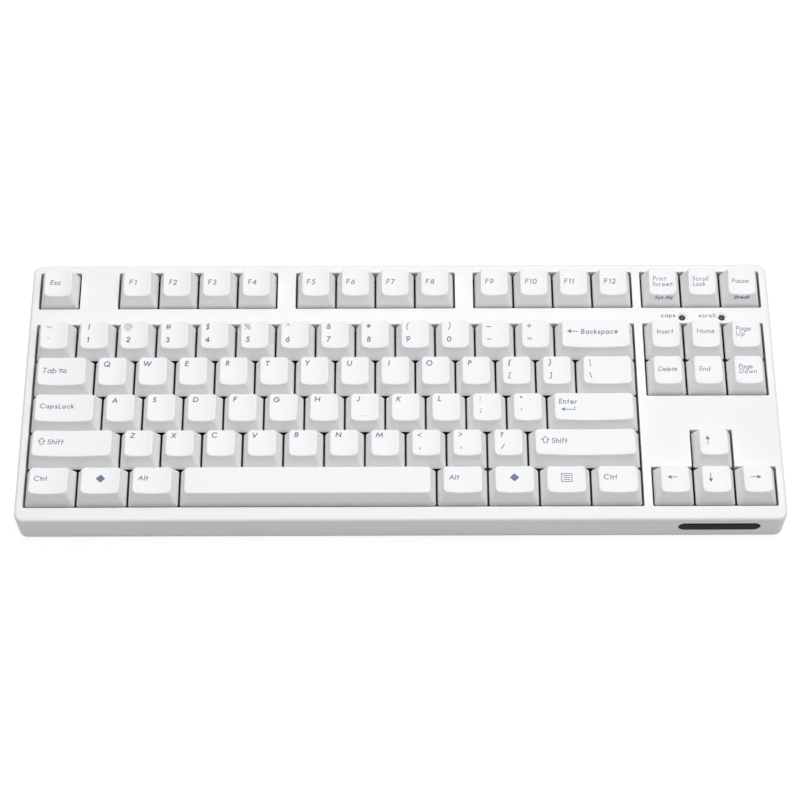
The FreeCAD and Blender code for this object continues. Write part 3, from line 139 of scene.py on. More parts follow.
SMALL_LETTERS = {
    "a": (0.64, [[BOWL], [(0.64, 0.64), (0.64, 0)]]),
    "b": (0.64, [[BOWL], [(0, 1.04), (0, 0)]]),
    "c": (0.52, [[(0.32, 0.32, 0.32, 0.32, 50, 310)]]),
    "d": (0.64, [[BOWL], [(0.64, 1.04), (0.64, 0)]]),
    "e": (0.64, [[(0.02, 0.34), (0.63, 0.34), (0.32, 0.32, 0.32, 0.32, 6, 315)]]),
    "f": (0.32, [[(0.34, 0.82, 0.2, 0.2, 90, 180), (0.14, 0)], [(0, 0.64), (0.32, 0.64)]]),
    "g": (0.64, [[BOWL], [(0.64, 0.64), (0.34, -0.06, 0.3, 0.28, 0, -130)]]),
    "h": (0.52, [[(0, 1.04), (0, 0)], [(0, 0.36), (0.26, 0.36, 0.26, 0.28, 180, 0), (0.52, 0)]]),
    "i": (0.0, [[(0, 0), (0, 0.64)], [(0, 0.92), (0, 0.92 + DOT)]]),
    "k": (0.48, [[(0, 0), (0, 1.04)], [(0.44, 0.64), (0.02, 0.26)], [(0.16, 0.38), (0.48, 0)]]),
    "l": (0.0, [[(0, 0), (0, 1.04)]]),
    "m": (0.88, [[(0, 0), (0, 0.64)], [(0, 0.4), (0.22, 0.4, 0.22, 0.24, 180, 0), (0.44, 0)],
                 [(0.44, 0.4), (0.66, 0.4, 0.22, 0.24, 180, 0), (0.88, 0)]]),
    "n": (0.48, [[(0, 0), (0, 0.64)], [(0, 0.38), (0.24, 0.38, 0.24, 0.26, 180, 0), (0.48, 0)]]),
    "o": (0.64, [[BOWL]]),
    "p": (0.64, [[BOWL], [(0, 0.64), (0, -0.34)]]),
    "q": (0.64, [[BOWL], [(0.64, 0.64), (0.64, -0.34)]]),
    "r": (0.32, [[(0, 0), (0, 0.64)], [(0, 0.36), (0.22, 0.38, 0.22, 0.26, 170, 60)]]),
    "s": (0.40, [[(0.2, 0.485, 0.17, 0.155, 35, 270), (0.2, 0.165, 0.2, 0.165, 90, -145)]]),
    "t": (0.34, [[(0.17, 0.92), (0.17, 0)], [(0, 0.64), (0.34, 0.64)]]),
    "u": (0.50, [[(0, 0.64), (0.25, 0.26, 0.25, 0.27, 180, 360), (0.5, 0.5)],
                 [(0.5, 0.64), (0.5, 0)]]),
    "w": (0.84, [[(0, 0.64), (0.21, 0), (0.42, 0.64), (0.63, 0), (0.84, 0.64)]]),
    "y": (0.54, [[(0, 0.64), (0.27, 0.04)], [(0.54, 0.64), (0.18, -0.34)]]),
}

DIGITS = {
    "0": (0.68, [[(0.34, 0.5, 0.34, 0.5, 0, 360)]]),
    "1": (0.20, [[(0, 0.82), (0.2, 1), (0.2, 0)]]),
    "2": (0.58, [[(0.28, 0.72, 0.27, 0.28, 165, -35), (0, 0), (0.58, 0)]]),
    "3": (0.52, [[(0.25, 0.76, 0.23, 0.24, 150, -90)], [(0.25, 0.26, 0.27, 0.26, 90, -150)]]),
    "4": (0.70, [[(0.52, 0), (0.52, 1), (0, 0.28), (0.7, 0.28)]]),
    "5": (0.54, [[(0.5, 1), (0.13, 1), (0.06, 0.55), (0.25, 0.31, 0.29, 0.32, 128, -150)]]),
    "6": (0.66, [[(0.33, 0.32, 0.33, 0.32, 0, 360)], [(0.48, 1), (0.05, 0.49)]]),
    "7": (0.56, [[(0, 1), (0.56, 1), (0.14, 0)]]),
    "8": (0.60, [[(0.3, 0.76, 0.24, 0.24, 0, 360)], [(0.3, 0.26, 0.3, 0.26, 0, 360)]]),
    "9": (0.66, [[(0.33, 0.68, 0.33, 0.32, 0, 360)], [(0.18, 0), (0.61, 0.51)]]),
}

SIGNS = {
    "~": (0.96, [[(0.24, 0.40, 0.24, 0.13, 180, 0), (0.72, 0.40, 0.24, 0.13, 180, 360)]]),
    "`": (0.20, [[(0, 1), (0.2, 0.74)]]),
    "!": (0.0, [[(0, 0.32), (0, 1)], [(0, 0), (0, DOT)]]),
    "@": (1.42, [[(0.69, 0.48, 0.28, 0.29, 0, 360)],
                 [(1.0, 0.78), (0.97, 0.42), (1.14, 0.42, 0.17, 0.17, 190, 300),
                  (0.71, 0.48, 0.71, 0.66, -12, 305)]]),
    "#": (0.80, [[(0.2, 0), (0.2, 1)], [(0.6, 0), (0.6, 1)], [(0, 0.32), (0.8, 0.32)],
                 [(0, 0.68), (0.8, 0.68)]]),
    "$": (0.54, [[(0.27, 0.76, 0.25, 0.22, 40, 270), (0.27, 0.27, 0.27, 0.27, 90, -140)],
                 [(0.27, -0.14), (0.27, 1.12)]]),
    "%": (1.16, [[(0.23, 0.78, 0.23, 0.24, 0, 360)], [(0.93, 0.22, 0.23, 0.24, 0, 360)],
                 [(0.22, -0.04), (0.94, 1.06)]]),
    "^": (0.68, [[(0, 0.6), (0.34, 1.06), (0.68, 0.6)]]),
    "&": (0.72, [[(0.72, 0), (0.32, 0.79, 0.2, 0.21, 205, -40), (0.27, 0.26, 0.27, 0.26, 128, 320),
                  (0.7, 0.46)]]),
    "*": (0.56, [[(0.28, 0.26), (0.28, 0.9)], [(0, 0.42), (0.56, 0.74)],
                 [(0, 0.74), (0.56, 0.42)]]),
    "(": (0.40, [[(0.5, 0.5, 0.5, 0.86, 126, 234)]]),
    ")": (0.40, [[(-0.1, 0.5, 0.5, 0.86, 54, -54)]]),
    "_": (0.84, [[(0, 0.2), (0.84, 0.2)]]),
    "-": (0.66, [[(0, 0.38), (0.66, 0.38)]]),
    "+": (0.72, [[(0, 0.54), (0.72, 0.54)], [(0.36, 0.18), (0.36, 0.9)]]),
    "=": (0.78, [[(0, 0.32), (0.78, 0.32)], [(0, 0.58), (0.78, 0.58)]]),
    "{": (0.34, [[(0.34, 0.94, 0.18, 0.18, 90, 180), (0.16, 0.6), (0, 0.45), (0.16, 0.3),
                  (0.34, -0.04, 0.18, 0.18, 180, 270)]]),
    "}": (0.34, [[(0, 0.94, 0.18, 0.18, 90, 0), (0.18, 0.6), (0.34, 0.45), (0.18, 0.3),
                  (0, -0.04, 0.18, 0.18, 0, -90)]]),
    "[": (0.28, [[(0.28, 1.0), (0, 1.0), (0, -0.2), (0.28, -0.2)]]),
    "]": (0.28, [[(0, 1.0), (0.28, 1.0), (0.28, -0.2), (0, -0.2)]]),
    "|": (0.0, [[(0.1, -0.08), (0, 0.36)], [(-0.06, 0.66), (-0.16, 1.12)]]),
    "\\": (0.42, [[(0, 1), (0.42, 0)]]),
    ":": (0.0, [[(0, 0.14), (0, 0.14 + DOT)], [(0, 0.68), (0, 0.68 + DOT)]]),
    ";": (0.08, [[(0.05, 0.3 + DOT), (-0.03, 0.12)], [(0.06, 0.82), (0.06, 0.82 + DOT)]]),
    '"': (0.22, [[(0, 0.7), (0, 1)], [(0.22, 0.7), (0.22, 1)]]),
    "'": (0.0, [[(0, 0.7), (0, 1)]]),
    "<": (0.66, [[(0.66, 0.88), (0, 0.48), (0.66, 0.08)]]),
    ">": (0.60, [[(0, 0.94), (0.6, 0.54), (0, 0.14)]]),
    ",": (0.06, [[(0.16, 0.14 + DOT), (0.08, -0.06)]]),
    ".": (0.0, [[(0.1, 0.12), (0.1, 0.2 + DOT)]]),
    "?": (0.42, [[(0.21, 0.78, 0.21, 0.22, 165, -55), (0.2, 0.44), (0.2, 0.28)],
                 [(0.2, 0), (0.2, DOT)]]),
    "/": (0.42, [[(0, 0), (0.42, 1)]]),
}

GLYPHS = {**CAPITALS, **SMALL_LETTERS, **DIGITS, **SIGNS}

# ---------------------------------------------------------------------------------------------
# Symbols in mm, drawn round the middle of a key's top. A head is (length, half of its width), and
# a head's tip is TIP wide to each side.
# ---------------------------------------------------------------------------------------------

TIP = 0.03
ARROW_HEAD = (1.9, 1.05)
TAB_HEAD = (1.15, 0.55)
TAB_STOP = 0.5
TAB_CLEAR = 0.1
SHIFT_SHOULDER = 0.48
SHIFT_NECK = 0.24
RETURN_HEAD = (1.8, 0.95)
MENU_INSET = 1.0
MENU_LINES = (1.05, 0.0, -1.05)


def arrow(x, y, to_x, to_y, head=ARROW_HEAD):
    """A straight arrow: a shaft from its tail to the foot of its head, and a head as a wedge."""
    length, half = head
    neck = 1 - length / math.hypot(to_x - x, to_y - y)
    neck_x = x + neck * (to_x - x)
    neck_y = y + neck * (to_y - y)
    return [[(x, y), (neck_x, neck_y)], [(neck_x, neck_y, half), (to_x, to_y, TIP)]]


def tab_symbol(left, right, low, high):
    """Two arrows one above the other, each running to a stop at its end."""
    stops = [[(x, y - TAB_STOP), (x, y + TAB_STOP)] for x, y in ((left, high), (right, low))]
    upper = arrow(right, high, left + TAB_CLEAR, high, TAB_HEAD)
    return upper + arrow(left, low, right - TAB_CLEAR, low, TAB_HEAD) + stops


def shift_symbol(left, right, low, high):
    """The outline of a broad arrow that points up, from the middle of its foot round to it."""
    middle = (left + right) / 2
    shoulder = low + SHIFT_SHOULDER * (high - low)
    neck = SHIFT_NECK * (right - left)
    return [[
        (middle, low), (middle - neck, low), (middle - neck, shoulder), (left, shoulder),
        (middle, high), (right, shoulder), (middle + neck, shoulder), (middle + neck, low),
        (middle, low),
    ]]


def return_symbol(left, right, low, high):
    """An arrow to the left whose tail turns up at the right."""
    length, half = RETURN_HEAD
    neck = (left + length, low)
    return [[(right, high), (right, low), neck], [(*neck, half), (left, low, TIP)]]


def menu_symbol(x, y, width, height):
    """An open list: a frame with three lines of text."""
    left, right = x - width / 2, x + width / 2
    low, high = y - height / 2, y + height / 2
    outline = [(x, low), (right, low), (right, high), (left, high), (left, low), (x, low)]
    lines = [[(left + MENU_INSET, y + up), (right - MENU_INSET, y + up)] for up in MENU_LINES]
    return [outline] + lines


def diamond_symbol(x, y, width, height):
    """A solid diamond: one ribbon that widens to the middle and narrows again."""
    return [[(x - width / 2, y, TIP), (x, y, height / 2), (x + width / 2, y, TIP)]]


# ---------------------------------------------------------------------------------------------
# Legends: a list of marks for each key of a node. A word is ("word" or "small", text, left,
# baseline, capital height, length); a letter, figure or sign is ("letter", "sign" or "fine",
# character, middle, baseline, capital height); a symbol is ("symbol", strokes). Each kind has a
# pen of its own width. Places are in mm from the middle of the key's top.
# ---------------------------------------------------------------------------------------------

SIGN_ACROSS = -2.95
PAIR_HIGH = 2.5
PAIR_LOW = -4.0
PAIR_CAPITAL = 2.8
LETTER_CAPITAL = 2.7
FUNCTION_CAPITAL = 2.65
FUNCTION_LINE = -1.15
LONG_FUNCTION_LINE = -1.2
UPPER_LINE = 2.4
HOME_LINE = 2.75
LOWER_LINE = 2.65
FINE_SIGNS = "@%^~`="
BOLD_SIGNS = "!?{}*."
NUDGES = {
    "~": (0.45, 0.25), "`": (0.05, 0.1), "!": (0.35, 0.15), "1": (0.1, 0.2), "2": (0.2, 0.1),
    "3": (-0.15, -0.1), "$": (-0.3, 0.0), "4": (-0.3, 0.0), "%": (-0.5, 0.0), "5": (-0.25, 0.1),
    "^": (-0.4, 0.15), "6": (-0.35, 0.0), "7": (-0.15, 0.1), "*": (-0.15, 0.0), "(": (-0.5, 0.0),
    "9": (-0.45, 0.1), "_": (0.0, 0.35), "-": (0.0, 0.15), "=": (0.15, 0.2),
    "Q": (0.3, -0.1), "W": (0.25, 0.0), "E": (-0.15, 0.0), "R": (0.1, 0.15), "T": (-0.2, 0.0),
    "Y": (-0.45, 0.15), "U": (0.4, 0.0), "P": (0.1, 0.1), "{": (-0.3, -0.1), "[": (-0.2, 0.0),
    "}": (-0.15, 0.0), "A": (0.3, -0.25), "S": (-0.2, 0.0), "F": (-0.6, 0.15),
    "G": (-0.25, -0.15), "H": (-0.15, 0.1), "K": (-0.25, 0.0), "J": (-0.05, 0.2),
    "L": (0.0, 0.15), ":": (-0.1, 0.2), ";": (0.0, 0.4), "\"": (-0.1, 0.2), "'": (-0.1, 0.4),
    "C": (-0.15, 0.2), "V": (-0.5, -0.1), "B": (-0.1, 0.2), "N": (0.35, 0.2), "M": (0.35, 0.05),
    "<": (-0.15, 0.0), ",": (0.0, 0.35), ">": (-0.1, 0.25), ".": (-0.15, 0.25),
    "?": (-0.05, 0.15), "/": (0.35, 0.3),
}


def word(text, left, baseline, capital, length):
    """One word on a key."""
    return ("word", text, left, baseline, capital, length)


def small_word(text, left, baseline, capital, length):
    """One word of the finer printing on the block at the right."""
    return ("small", text, left, baseline, capital, length)


def function_words(first, baseline, *places):
    """F1 and on: one word on each key, at its own left edge and of its own length."""
    return [
        [word("F%d" % number, left, baseline, FUNCTION_CAPITAL, length)]
        for number, (left, length) in enumerate(places, first)
    ]


def sign(character, baseline, capital):
    """One character near a key's left edge, set over by its own nudge."""
    if character.isalnum() or character in BOLD_SIGNS:
        kind = "letter"
    else:
        kind = "fine" if character in FINE_SIGNS else "sign"
    across, up = NUDGES.get(character, (0.0, 0.0))
    return (kind, character, SIGN_ACROSS + across, baseline + up, capital)


def letters(text, baseline):
    """One capital on each key."""
    return [[sign(letter, baseline, LETTER_CAPITAL)] for letter in text]


def pairs(upper, lower):
    """Two signs on each key, the shifted one above the plain one."""
    return [
        [sign(high, PAIR_HIGH, PAIR_CAPITAL), sign(low, PAIR_LOW, PAIR_CAPITAL)]
        for high, low in zip(upper, lower)
    ]


DIAMOND = ("symbol", diamond_symbol(0.0, 1.0, 4.4, 4.2))

LEGENDS = {
    "escape_key": [[word("Esc", -3.8, -1.13, 2.45, 5.2)]],
    "f1_to_f4_keys": function_words(
        1, FUNCTION_LINE, (-3.89, 3.6), (-3.91, 4.05), (-4.2, 4.25), (-4.05, 4.45)
    ),
    "f5_to_f8_keys": function_words(
        5, FUNCTION_LINE, (-4.4, 4.3), (-4.45, 4.5), (-4.25, 4.2), (-4.35, 4.4)
    ),
    "f9_to_f12_keys": (
        function_words(9, FUNCTION_LINE, (-4.33, 4.3))
        + function_words(10, LONG_FUNCTION_LINE, (-4.2, 5.9), (-4.5, 4.9), (-4.35, 5.9))
    ),
    "print_scroll_pause_keys": [
        [small_word("Print", -4.63, 0.2, 2.25, 6.65), small_word("Screen", -5.0, -2.6, 2.2, 9.9)],
        [small_word("Scroll", -4.75, 0.2, 2.25, 8.0), small_word("Lock", -4.4, -2.55, 2.2, 6.15)],
        [small_word("Pause", -4.77, -1.0, 2.25, 8.4)],
    ],
    "grave_to_3_keys": pairs("~!@#", "`123"),
    "number_4_to_6_keys": pairs("$%^", "456"),
    "number_7_to_9_keys": pairs("&*(", "789"),
    "zero_to_equals_keys": pairs(")_+", "0-="),
    "backspace_key": [[
        ("symbol", arrow(-8.4, 1.0, -13.6, 1.0)),
        word("Backspace", -7.07, -0.25, 2.45, 17.85),
    ]],
    "insert_home_page_up_keys": [
        [small_word("Insert", -4.26, -0.22, 2.35, 8.0)],
        [small_word("Home", -4.4, -0.1, 2.3, 8.7)],
        [small_word("Page", -4.8, 1.2, 2.3, 7.4), small_word("Up", -4.8, -1.4, 2.25, 4.4)],
    ],
    "tab_key": [[
        word("Tab", -9.2, -1.1, 2.8, 6.95),
        ("symbol", tab_symbol(-1.2, 1.95, -0.3, 0.8)),
    ]],
    "q_w_e_keys": letters("QWE", UPPER_LINE),
    "r_t_y_keys": letters("RTY", UPPER_LINE),
    "u_i_o_keys": letters("UIO", UPPER_LINE),
    "p_and_bracket_keys": letters("P", UPPER_LINE) + pairs("{}", "[]"),
    "backslash_key": [[("sign", "|", -7.95, 1.9, 3.0), ("sign", "\\", -8.0, -4.4, 3.0)]],
    "delete_end_page_down_keys": [
        [small_word("Delete", -4.62, -0.8, 2.3, 9.25)],
        [small_word("End", -4.3, -0.65, 2.35, 5.4)],
        [small_word("Page", -4.65, 0.5, 2.3, 6.9), small_word("Down", -4.6, -2.0, 2.25, 8.6)],
    ],
    "caps_lock_key": [[word("CapsLock", -11.6, -0.35, 2.4, 16.2)]],
    "a_s_d_keys": letters("ASD", HOME_LINE),
    "f_g_h_keys": letters("FGH", HOME_LINE),
    "j_k_l_keys": letters("JKL", HOME_LINE),
    "semicolon_quote_keys": pairs(":\"", ";'"),
    "enter_key": [[
        word("Enter", -16.4, 1.25, 2.6, 8.85),
        ("symbol", return_symbol(-15.4, -9.0, -1.6, -0.1)),
    ]],
    "left_shift_key": [[
        ("symbol", shift_symbol(-15.6, -12.4, -0.6, 2.7)),
        word("Shift", -11.55, -0.6, 2.7, 7.8),
    ]],
    "z_x_c_keys": letters("ZXC", LOWER_LINE),
    "v_b_n_m_keys": letters("VBNM", LOWER_LINE),
    "comma_period_slash_keys": pairs("<>?", ",./"),
    "right_shift_key": [[
        ("symbol", shift_symbol(-20.4, -16.75, -0.6, 2.7)),
        word("Shift", -15.8, -0.7, 2.7, 7.7),
    ]],
    "up_arrow_key": [[("symbol", arrow(-2.7, -1.5, -2.7, 3.2))]],
    "left_modifier_keys": [
        [word("Ctrl", -6.85, -0.2, 2.5, 6.1)],
        [DIAMOND],
        [word("Alt", -6.5, -0.1, 2.5, 4.8)],
    ],
    "right_modifier_keys": [
        [word("Alt", -6.33, -0.15, 2.55, 4.85)],
        [DIAMOND],
        [("symbol", menu_symbol(0.2, 0.85, 4.7, 4.1))],
        [word("Ctrl", -6.77, -0.25, 2.6, 6.35)],
    ],
    "left_arrow_key": [[("symbol", arrow(1.15, 1.05, -3.5, 1.05))]],
    "down_arrow_key": [[("symbol", arrow(-2.6, 3.0, -2.6, -1.7))]],
    "right_arrow_key": [[("symbol", arrow(-3.1, 1.05, 1.7, 1.05))]],
}

# On a key's front the baseline counts up from the front's foot
FRONT_LEGENDS = {
    "print_scroll_pause_keys": [
        [word("Sys Rq", -4.0, 6.0, 2.2, 9.1)],
        [],
        [word("Break", -3.8, 6.0, 2.2, 7.9)],
    ],
}

# A word beside a light is (text, left, baseline, length), from the light's near edge and middle
LIGHT_WORDS = (("caps", -10.2, -0.15, 6.9), ("scroll", -11.1, -0.35, 8.1))
LIGHT_CAPITAL = 2.2

# ---------------------------------------------------------------------------------------------
# Settings
# ---------------------------------------------------------------------------------------------


def length_property(name, description, default):
    """A size in metres with a ruler in the panel."""
    return FloatProperty(
        name=name, description=description, default=default, min=0.0, precision=5, unit="LENGTH"
    )


def colour_property(name, description, code):
    """A colour, given as six hexadecimal digits."""
    return StringProperty(name=name, description=description, default=code)


class LegendSettings(PropertyGroup):
    """Sizes of the printing."""

    word: length_property("Word pen", "Width of a stroke of the words on keys", 0.39 * MM)
    small: length_property("Small word pen", "Width of a stroke of the finer words", 0.29 * MM)
    letter: length_property("Letter pen", "Width of a stroke of letters and figures", 0.5 * MM)
    sign: length_property("Sign pen", "Width of a stroke of most signs", 0.39 * MM)
    fine: length_property("Fine pen", "Width of a stroke of the densest signs", 0.29 * MM)
    symbol: length_property("Symbol pen", "Width of a stroke of arrows and frames", 0.36 * MM)
    front: length_property("Front pen", "Width of a stroke on key fronts", 0.4 * MM)
    light: length_property("Light pen", "Width of a stroke beside the lights", 0.4 * MM)
    raise_by: length_property("Print height", "How far the ink stands on its surface", 0.03 * MM)
    label_thickness: length_property("Label thickness", "Film and glue together", 0.14 * MM)
    label_corner: length_property("Label corner", "Radius of the label's corners", 2.0 * MM)
    slant: FloatProperty(
        name="Slant", description="Lean of the legends", default=math.radians(8.5),
        subtype="ANGLE",
    )
    front_slant: FloatProperty(
        name="Front slant", description="Lean of the words on key fronts",
        default=math.radians(15.0), subtype="ANGLE",
    )


class FinishSettings(PropertyGroup):
    """Main colours of the keyboard."""

    shell: colour_property("Case", "Colour of the moulded case", "F0F0F1")
    caps: colour_property("Keycaps", "Colour of the keycaps", "F7F7F8")
    ink: colour_property("Ink", "Colour of the key legends", "64768C")
    fine_ink: colour_property("Fine ink", "Colour of the words beside the lights", "6E7378")
    badge: colour_property("Badge", "Colour of the plate on the front edge", "0F1011")


class StageSettings(PropertyGroup):
    """Camera and light."""

    azimuth: FloatProperty(
        name="Azimuth", description="Turn of the camera from straight ahead",
        default=math.radians(-0.19), subtype="ANGLE",
    )
    elevation: FloatProperty(
        name="Elevation", description="Height of the camera as an angle from the floor",
        default=math.radians(59.36), subtype="ANGLE",
    )
    distance: length_property("Distance", "From the aim to the camera", 1.03855)
    aim: FloatVectorProperty(
        name="Aim", description="Where the camera looks, from the middle of the keyboard",
        default=(-0.00018, -0.00717, 0.00508), unit="LENGTH", precision=5,
    )
    lens: FloatProperty(
        name="Lens", description="Focal length in mm on a 36 mm sensor", default=99.06, min=1.0
    )
    lamp_power: FloatProperty(
        name="Lamp", description="Power of the overhead lamp in watts", default=20.7, min=0.0
    )
    lamp_length: length_property("Lamp length", "Long side of the lamp, along the keyboard", 1.8)
    lamp_width: length_property("Lamp width", "Short side of the lamp", 1.2)
    lamp_place: FloatVectorProperty(
        name="Lamp place", description="Middle of the lamp, from the middle of the keyboard",
        default=(0.2, 0.2, 1.55), unit="LENGTH", precision=3,
    )
    ambient: FloatProperty(
        name="Ambient", description="Strength of the light from all round", default=0.32, min=0.0
    )
    floor_size: length_property("Floor size", "Side of the square floor", 12.0)


# ---------------------------------------------------------------------------------------------
# Places: millimetres with the deck level, and metres in the frame
# ---------------------------------------------------------------------------------------------

NO_LENGTH = 1e-12
TILT_COS = math.cos(DECK_TILT)
TILT_SIN = math.sin(DECK_TILT)
TO_DECK = np.array([[1, 0, 0], [0, TILT_COS, TILT_SIN], [0, -TILT_SIN, TILT_COS]])


def to_deck(points):
    """Frame metres to deck millimetres: turned back about X by the deck's tilt, and scaled."""
    return points @ TO_DECK.T / MM


def to_frame(points):
    """Deck millimetres to frame metres: scaled, and turned about X by the deck's tilt."""
    return points @ TO_DECK * MM


def node_triangles(node):
    """A node's triangles in frame metres: (count, 3 corners, 3)."""
    mesh = frame["nodes"][node].data
    mesh.calc_loop_triangles()
    corners = np.empty(len(mesh.vertices) * 3)
    mesh.vertices.foreach_get("co", corners)
    order = np.empty(len(mesh.loop_triangles) * 3, dtype=np.int64)
    mesh.loop_triangles.foreach_get("vertices", order)
    return corners.reshape(-1, 3)[order].reshape(-1, 3, 3)


def crossed_sides(triangles):
    """Each triangle's normal, as long as twice its area: the cross product of two of its sides."""
    return np.cross(triangles[:, 1] - triangles[:, 0], triangles[:, 2] - triangles[:, 0])


def deck_triangles(node):
    """A node's triangles in deck millimetres: (count, 3 corners, 3), and their unit normals."""
    triangles = to_deck(node_triangles(node))
    normals = crossed_sides(triangles)
    normals /= np.maximum(np.linalg.norm(normals, axis=1, keepdims=True), NO_LENGTH)
    return triangles, normals


def key_middles(node, triangles, widths):
    """Middle of each key of a node along X.

    The node is as long as its keys' pitches less one gap, so the gap is what is missing, and each
    key's middle follows from the widths to its left.
    """
    low, high = triangles[..., 0].min(), triangles[..., 0].max()
    gap = widths.sum() * KEY_PITCH - (high - low)
    if not 0 < gap < WIDEST_GAP:
        raise RuntimeError("the legends of %s don't fit its keys" % node)
    return low - gap / 2 + KEY_PITCH * (np.cumsum(widths) - widths / 2)


# Facets count as a key's top where they face up and lie near the height of its inner ones, and as
# its front where they face ahead and lie in its outer wall. Facing is the share of the normal that
# points the way. The margins and depths are in mm.
FACING_UP = 0.95
FACING_AHEAD = 0.85
TOP_MARGIN = 4.0
TOP_DEPTH = 3.5
FRONT_DEPTH = 5.0
SLOPE_DEPTH = 4.0
NO_AREA = 1e-6


def height_over(triangles, first, second, height):
    """A faceted surface's height along one axis, as a function of places along the other two.

    A place lies in the facet where the smallest of its three barycentric weights is largest, and
    the height there is the facet's three heights times those weights.
    """
    corner, ahead, aside = triangles[:, 0], triangles[:, 1], triangles[:, 2]
    ahead, aside = ahead - corner, aside - corner
    area = ahead[:, first] * aside[:, second] - ahead[:, second] * aside[:, first]
    wide = np.abs(area) > NO_AREA
    corner, ahead, aside, area = corner[wide], ahead[wide], aside[wide], area[wide]

    def at(places):
        from_first = places[:, None, 0] - corner[:, first]
        from_second = places[:, None, 1] - corner[:, second]
        share_ahead = (from_first * aside[:, second] - from_second * aside[:, first]) / area
        share_aside = (from_second * ahead[:, first] - from_first * ahead[:, second]) / area
        least = np.minimum(np.minimum(share_ahead, share_aside), 1 - share_ahead - share_aside)
        found = least.argmax(axis=1)
        rows = np.arange(len(places))
        rise = share_ahead[rows, found] * ahead[found, height]
        return corner[found, height] + rise + share_aside[rows, found] * aside[found, height]

    return at


def top_surface(triangles, normals, middle, width):
    """The dished top of one key as a function of places on it, from the facets that face up."""
    half = width * KEY_PITCH / 2
    away = np.abs(triangles[..., 0] - middle).max(axis=1)
    facing = normals[:, 2] > FACING_UP
    inner = away < half - TOP_MARGIN
    high = triangles[..., 2].min(axis=1) > triangles[inner][..., 2].max() - TOP_DEPTH
    spots = triangles[facing & inner & high]
    centre_y = (spots[..., 1].min() + spots[..., 1].max()) / 2
    top = height_over(triangles[facing & high & (away < half)], 0, 1, 2)

    def surface(flat, lift):
        """Places on the top: x and y as drawn, z from the facets, plus the lift."""
        places = flat + (middle, centre_y)
        return np.column_stack([places, top(places) + lift])

    return surface


def front_surface(triangles, normals, middle, width):
    """The sloping front of one key as a function of places on it, counted up from its foot."""
    facing = normals[:, 1] < -FACING_AHEAD
    inside = np.abs(triangles[..., 0] - middle).max(axis=1) < width * KEY_PITCH / 2
    front = triangles[facing & inside]
    front = front[front[..., 1].max(axis=1) < front[..., 1].min() + FRONT_DEPTH]
    spots = front.reshape(-1, 3)
    outer = spots[spots[:, 1] < spots[:, 1].min() + SLOPE_DEPTH]
    slope = np.polyfit(outer[:, 2], outer[:, 1], 1)[0]
    rise = 1 / math.hypot(1, slope)
    foot = outer[:, 2].min()
    face = height_over(front, 0, 2, 1)

    def surface(flat, lift):
        """Places on the front: along X, up the slope, and out from it by the lift."""
        places = np.column_stack([flat[:, 0] + middle, foot + flat[:, 1] * rise])
        y = face(places) - lift * rise
        return np.column_stack([places[:, 0], y, places[:, 1] + lift * slope * rise])

    return surface


def level_surface(height):
    """A level part of the deck as a function of places on it."""
    def surface(flat, lift):
        return np.column_stack([flat, height + np.broadcast_to(lift, len(flat))])

    return surface


# ---------------------------------------------------------------------------------------------
# Pen strokes: an arc's steps are in degrees, and all lengths are in mm
# ---------------------------------------------------------------------------------------------

ARC_STEP = 12.0
RUN_STEP = 0.7
SAME_PLACE = 1e-6
SHARPEST_MITRE = 2.2
OVERLAP_STEP = 0.004
INK_SUNK = 0.05
WORD_SPACE = 0.5


def stroke_line(stroke, scale, weight):
    """The middle line of a stroke in mm as rows of (x, y, half width).

    Arcs become points at equal angles, point = centre + radii times (cos, sin), and long straight
    runs get points between their ends, so that the ribbon can follow a curved surface.
    """
    rows = []
    for part in stroke:
        if len(part) == 6:
            x, y, across, up, first, last = part
            turns = np.radians(np.linspace(first, last, 2 + int(abs(last - first) / ARC_STEP)))
            arc = np.stack([x + across * np.cos(turns), y + up * np.sin(turns)], axis=1) * scale
            rows.append(np.column_stack([arc, np.full(len(arc), weight / 2)]))
        else:
            half = part[2] if len(part) == 3 else weight / 2
            rows.append(np.array([[part[0] * scale, part[1] * scale, half]]))
    line = np.concatenate(rows)
    runs = np.linalg.norm(np.diff(line[:, :2], axis=0), axis=1)
    line = line[np.concatenate([[True], runs > SAME_PLACE])]
    runs = np.linalg.norm(np.diff(line[:, :2], axis=0), axis=1)
    counts = np.ceil(runs / RUN_STEP).astype(int)
    starts = np.repeat(np.arange(len(counts)), counts)
    firsts = np.repeat(np.cumsum(counts) - counts, counts)
    steps = np.append(starts + (np.arange(counts.sum()) - firsts) / counts[starts], len(counts))
    return np.stack([np.interp(steps, np.arange(len(line)), column) for column in line.T], axis=1)


def ribbon_edges(line, square_ends):
    """Left and right edge of a stroke, and whether it closes on itself.

    Each edge point is the middle line's point plus or minus the half width along the mitre, the
    mean of the normals of the two runs that meet there, divided so that both runs keep their
    width. A mitre is no longer than SHARPEST_MITRE half widths, and an open end is square.
    """
    points, halves = line[:, :2].copy(), line[:, 2]
    closed = bool(np.linalg.norm(points[0] - points[-1]) < SAME_PLACE)
    if closed:
        points, halves = points[:-1], halves[:-1]
    ahead = np.roll(points, -1, axis=0) - points
    if not closed:
        ahead[-1] = ahead[-2]
    ahead /= np.linalg.norm(ahead, axis=1, keepdims=True)
    behind = np.roll(ahead, 1, axis=0)
    if not closed:
        behind[0] = ahead[0]
        if square_ends:
            points[0] -= ahead[0] * halves[0]
            points[-1] += ahead[-1] * halves[-1]
    normal = np.stack([-ahead[:, 1] - behind[:, 1], ahead[:, 0] + behind[:, 0]], axis=1)
    share = np.maximum(1 + np.sum(ahead * behind, axis=1), 2 / SHARPEST_MITRE ** 2)
    offset = normal / share[:, None] * halves[:, None]
    return points + offset, points - offset, closed


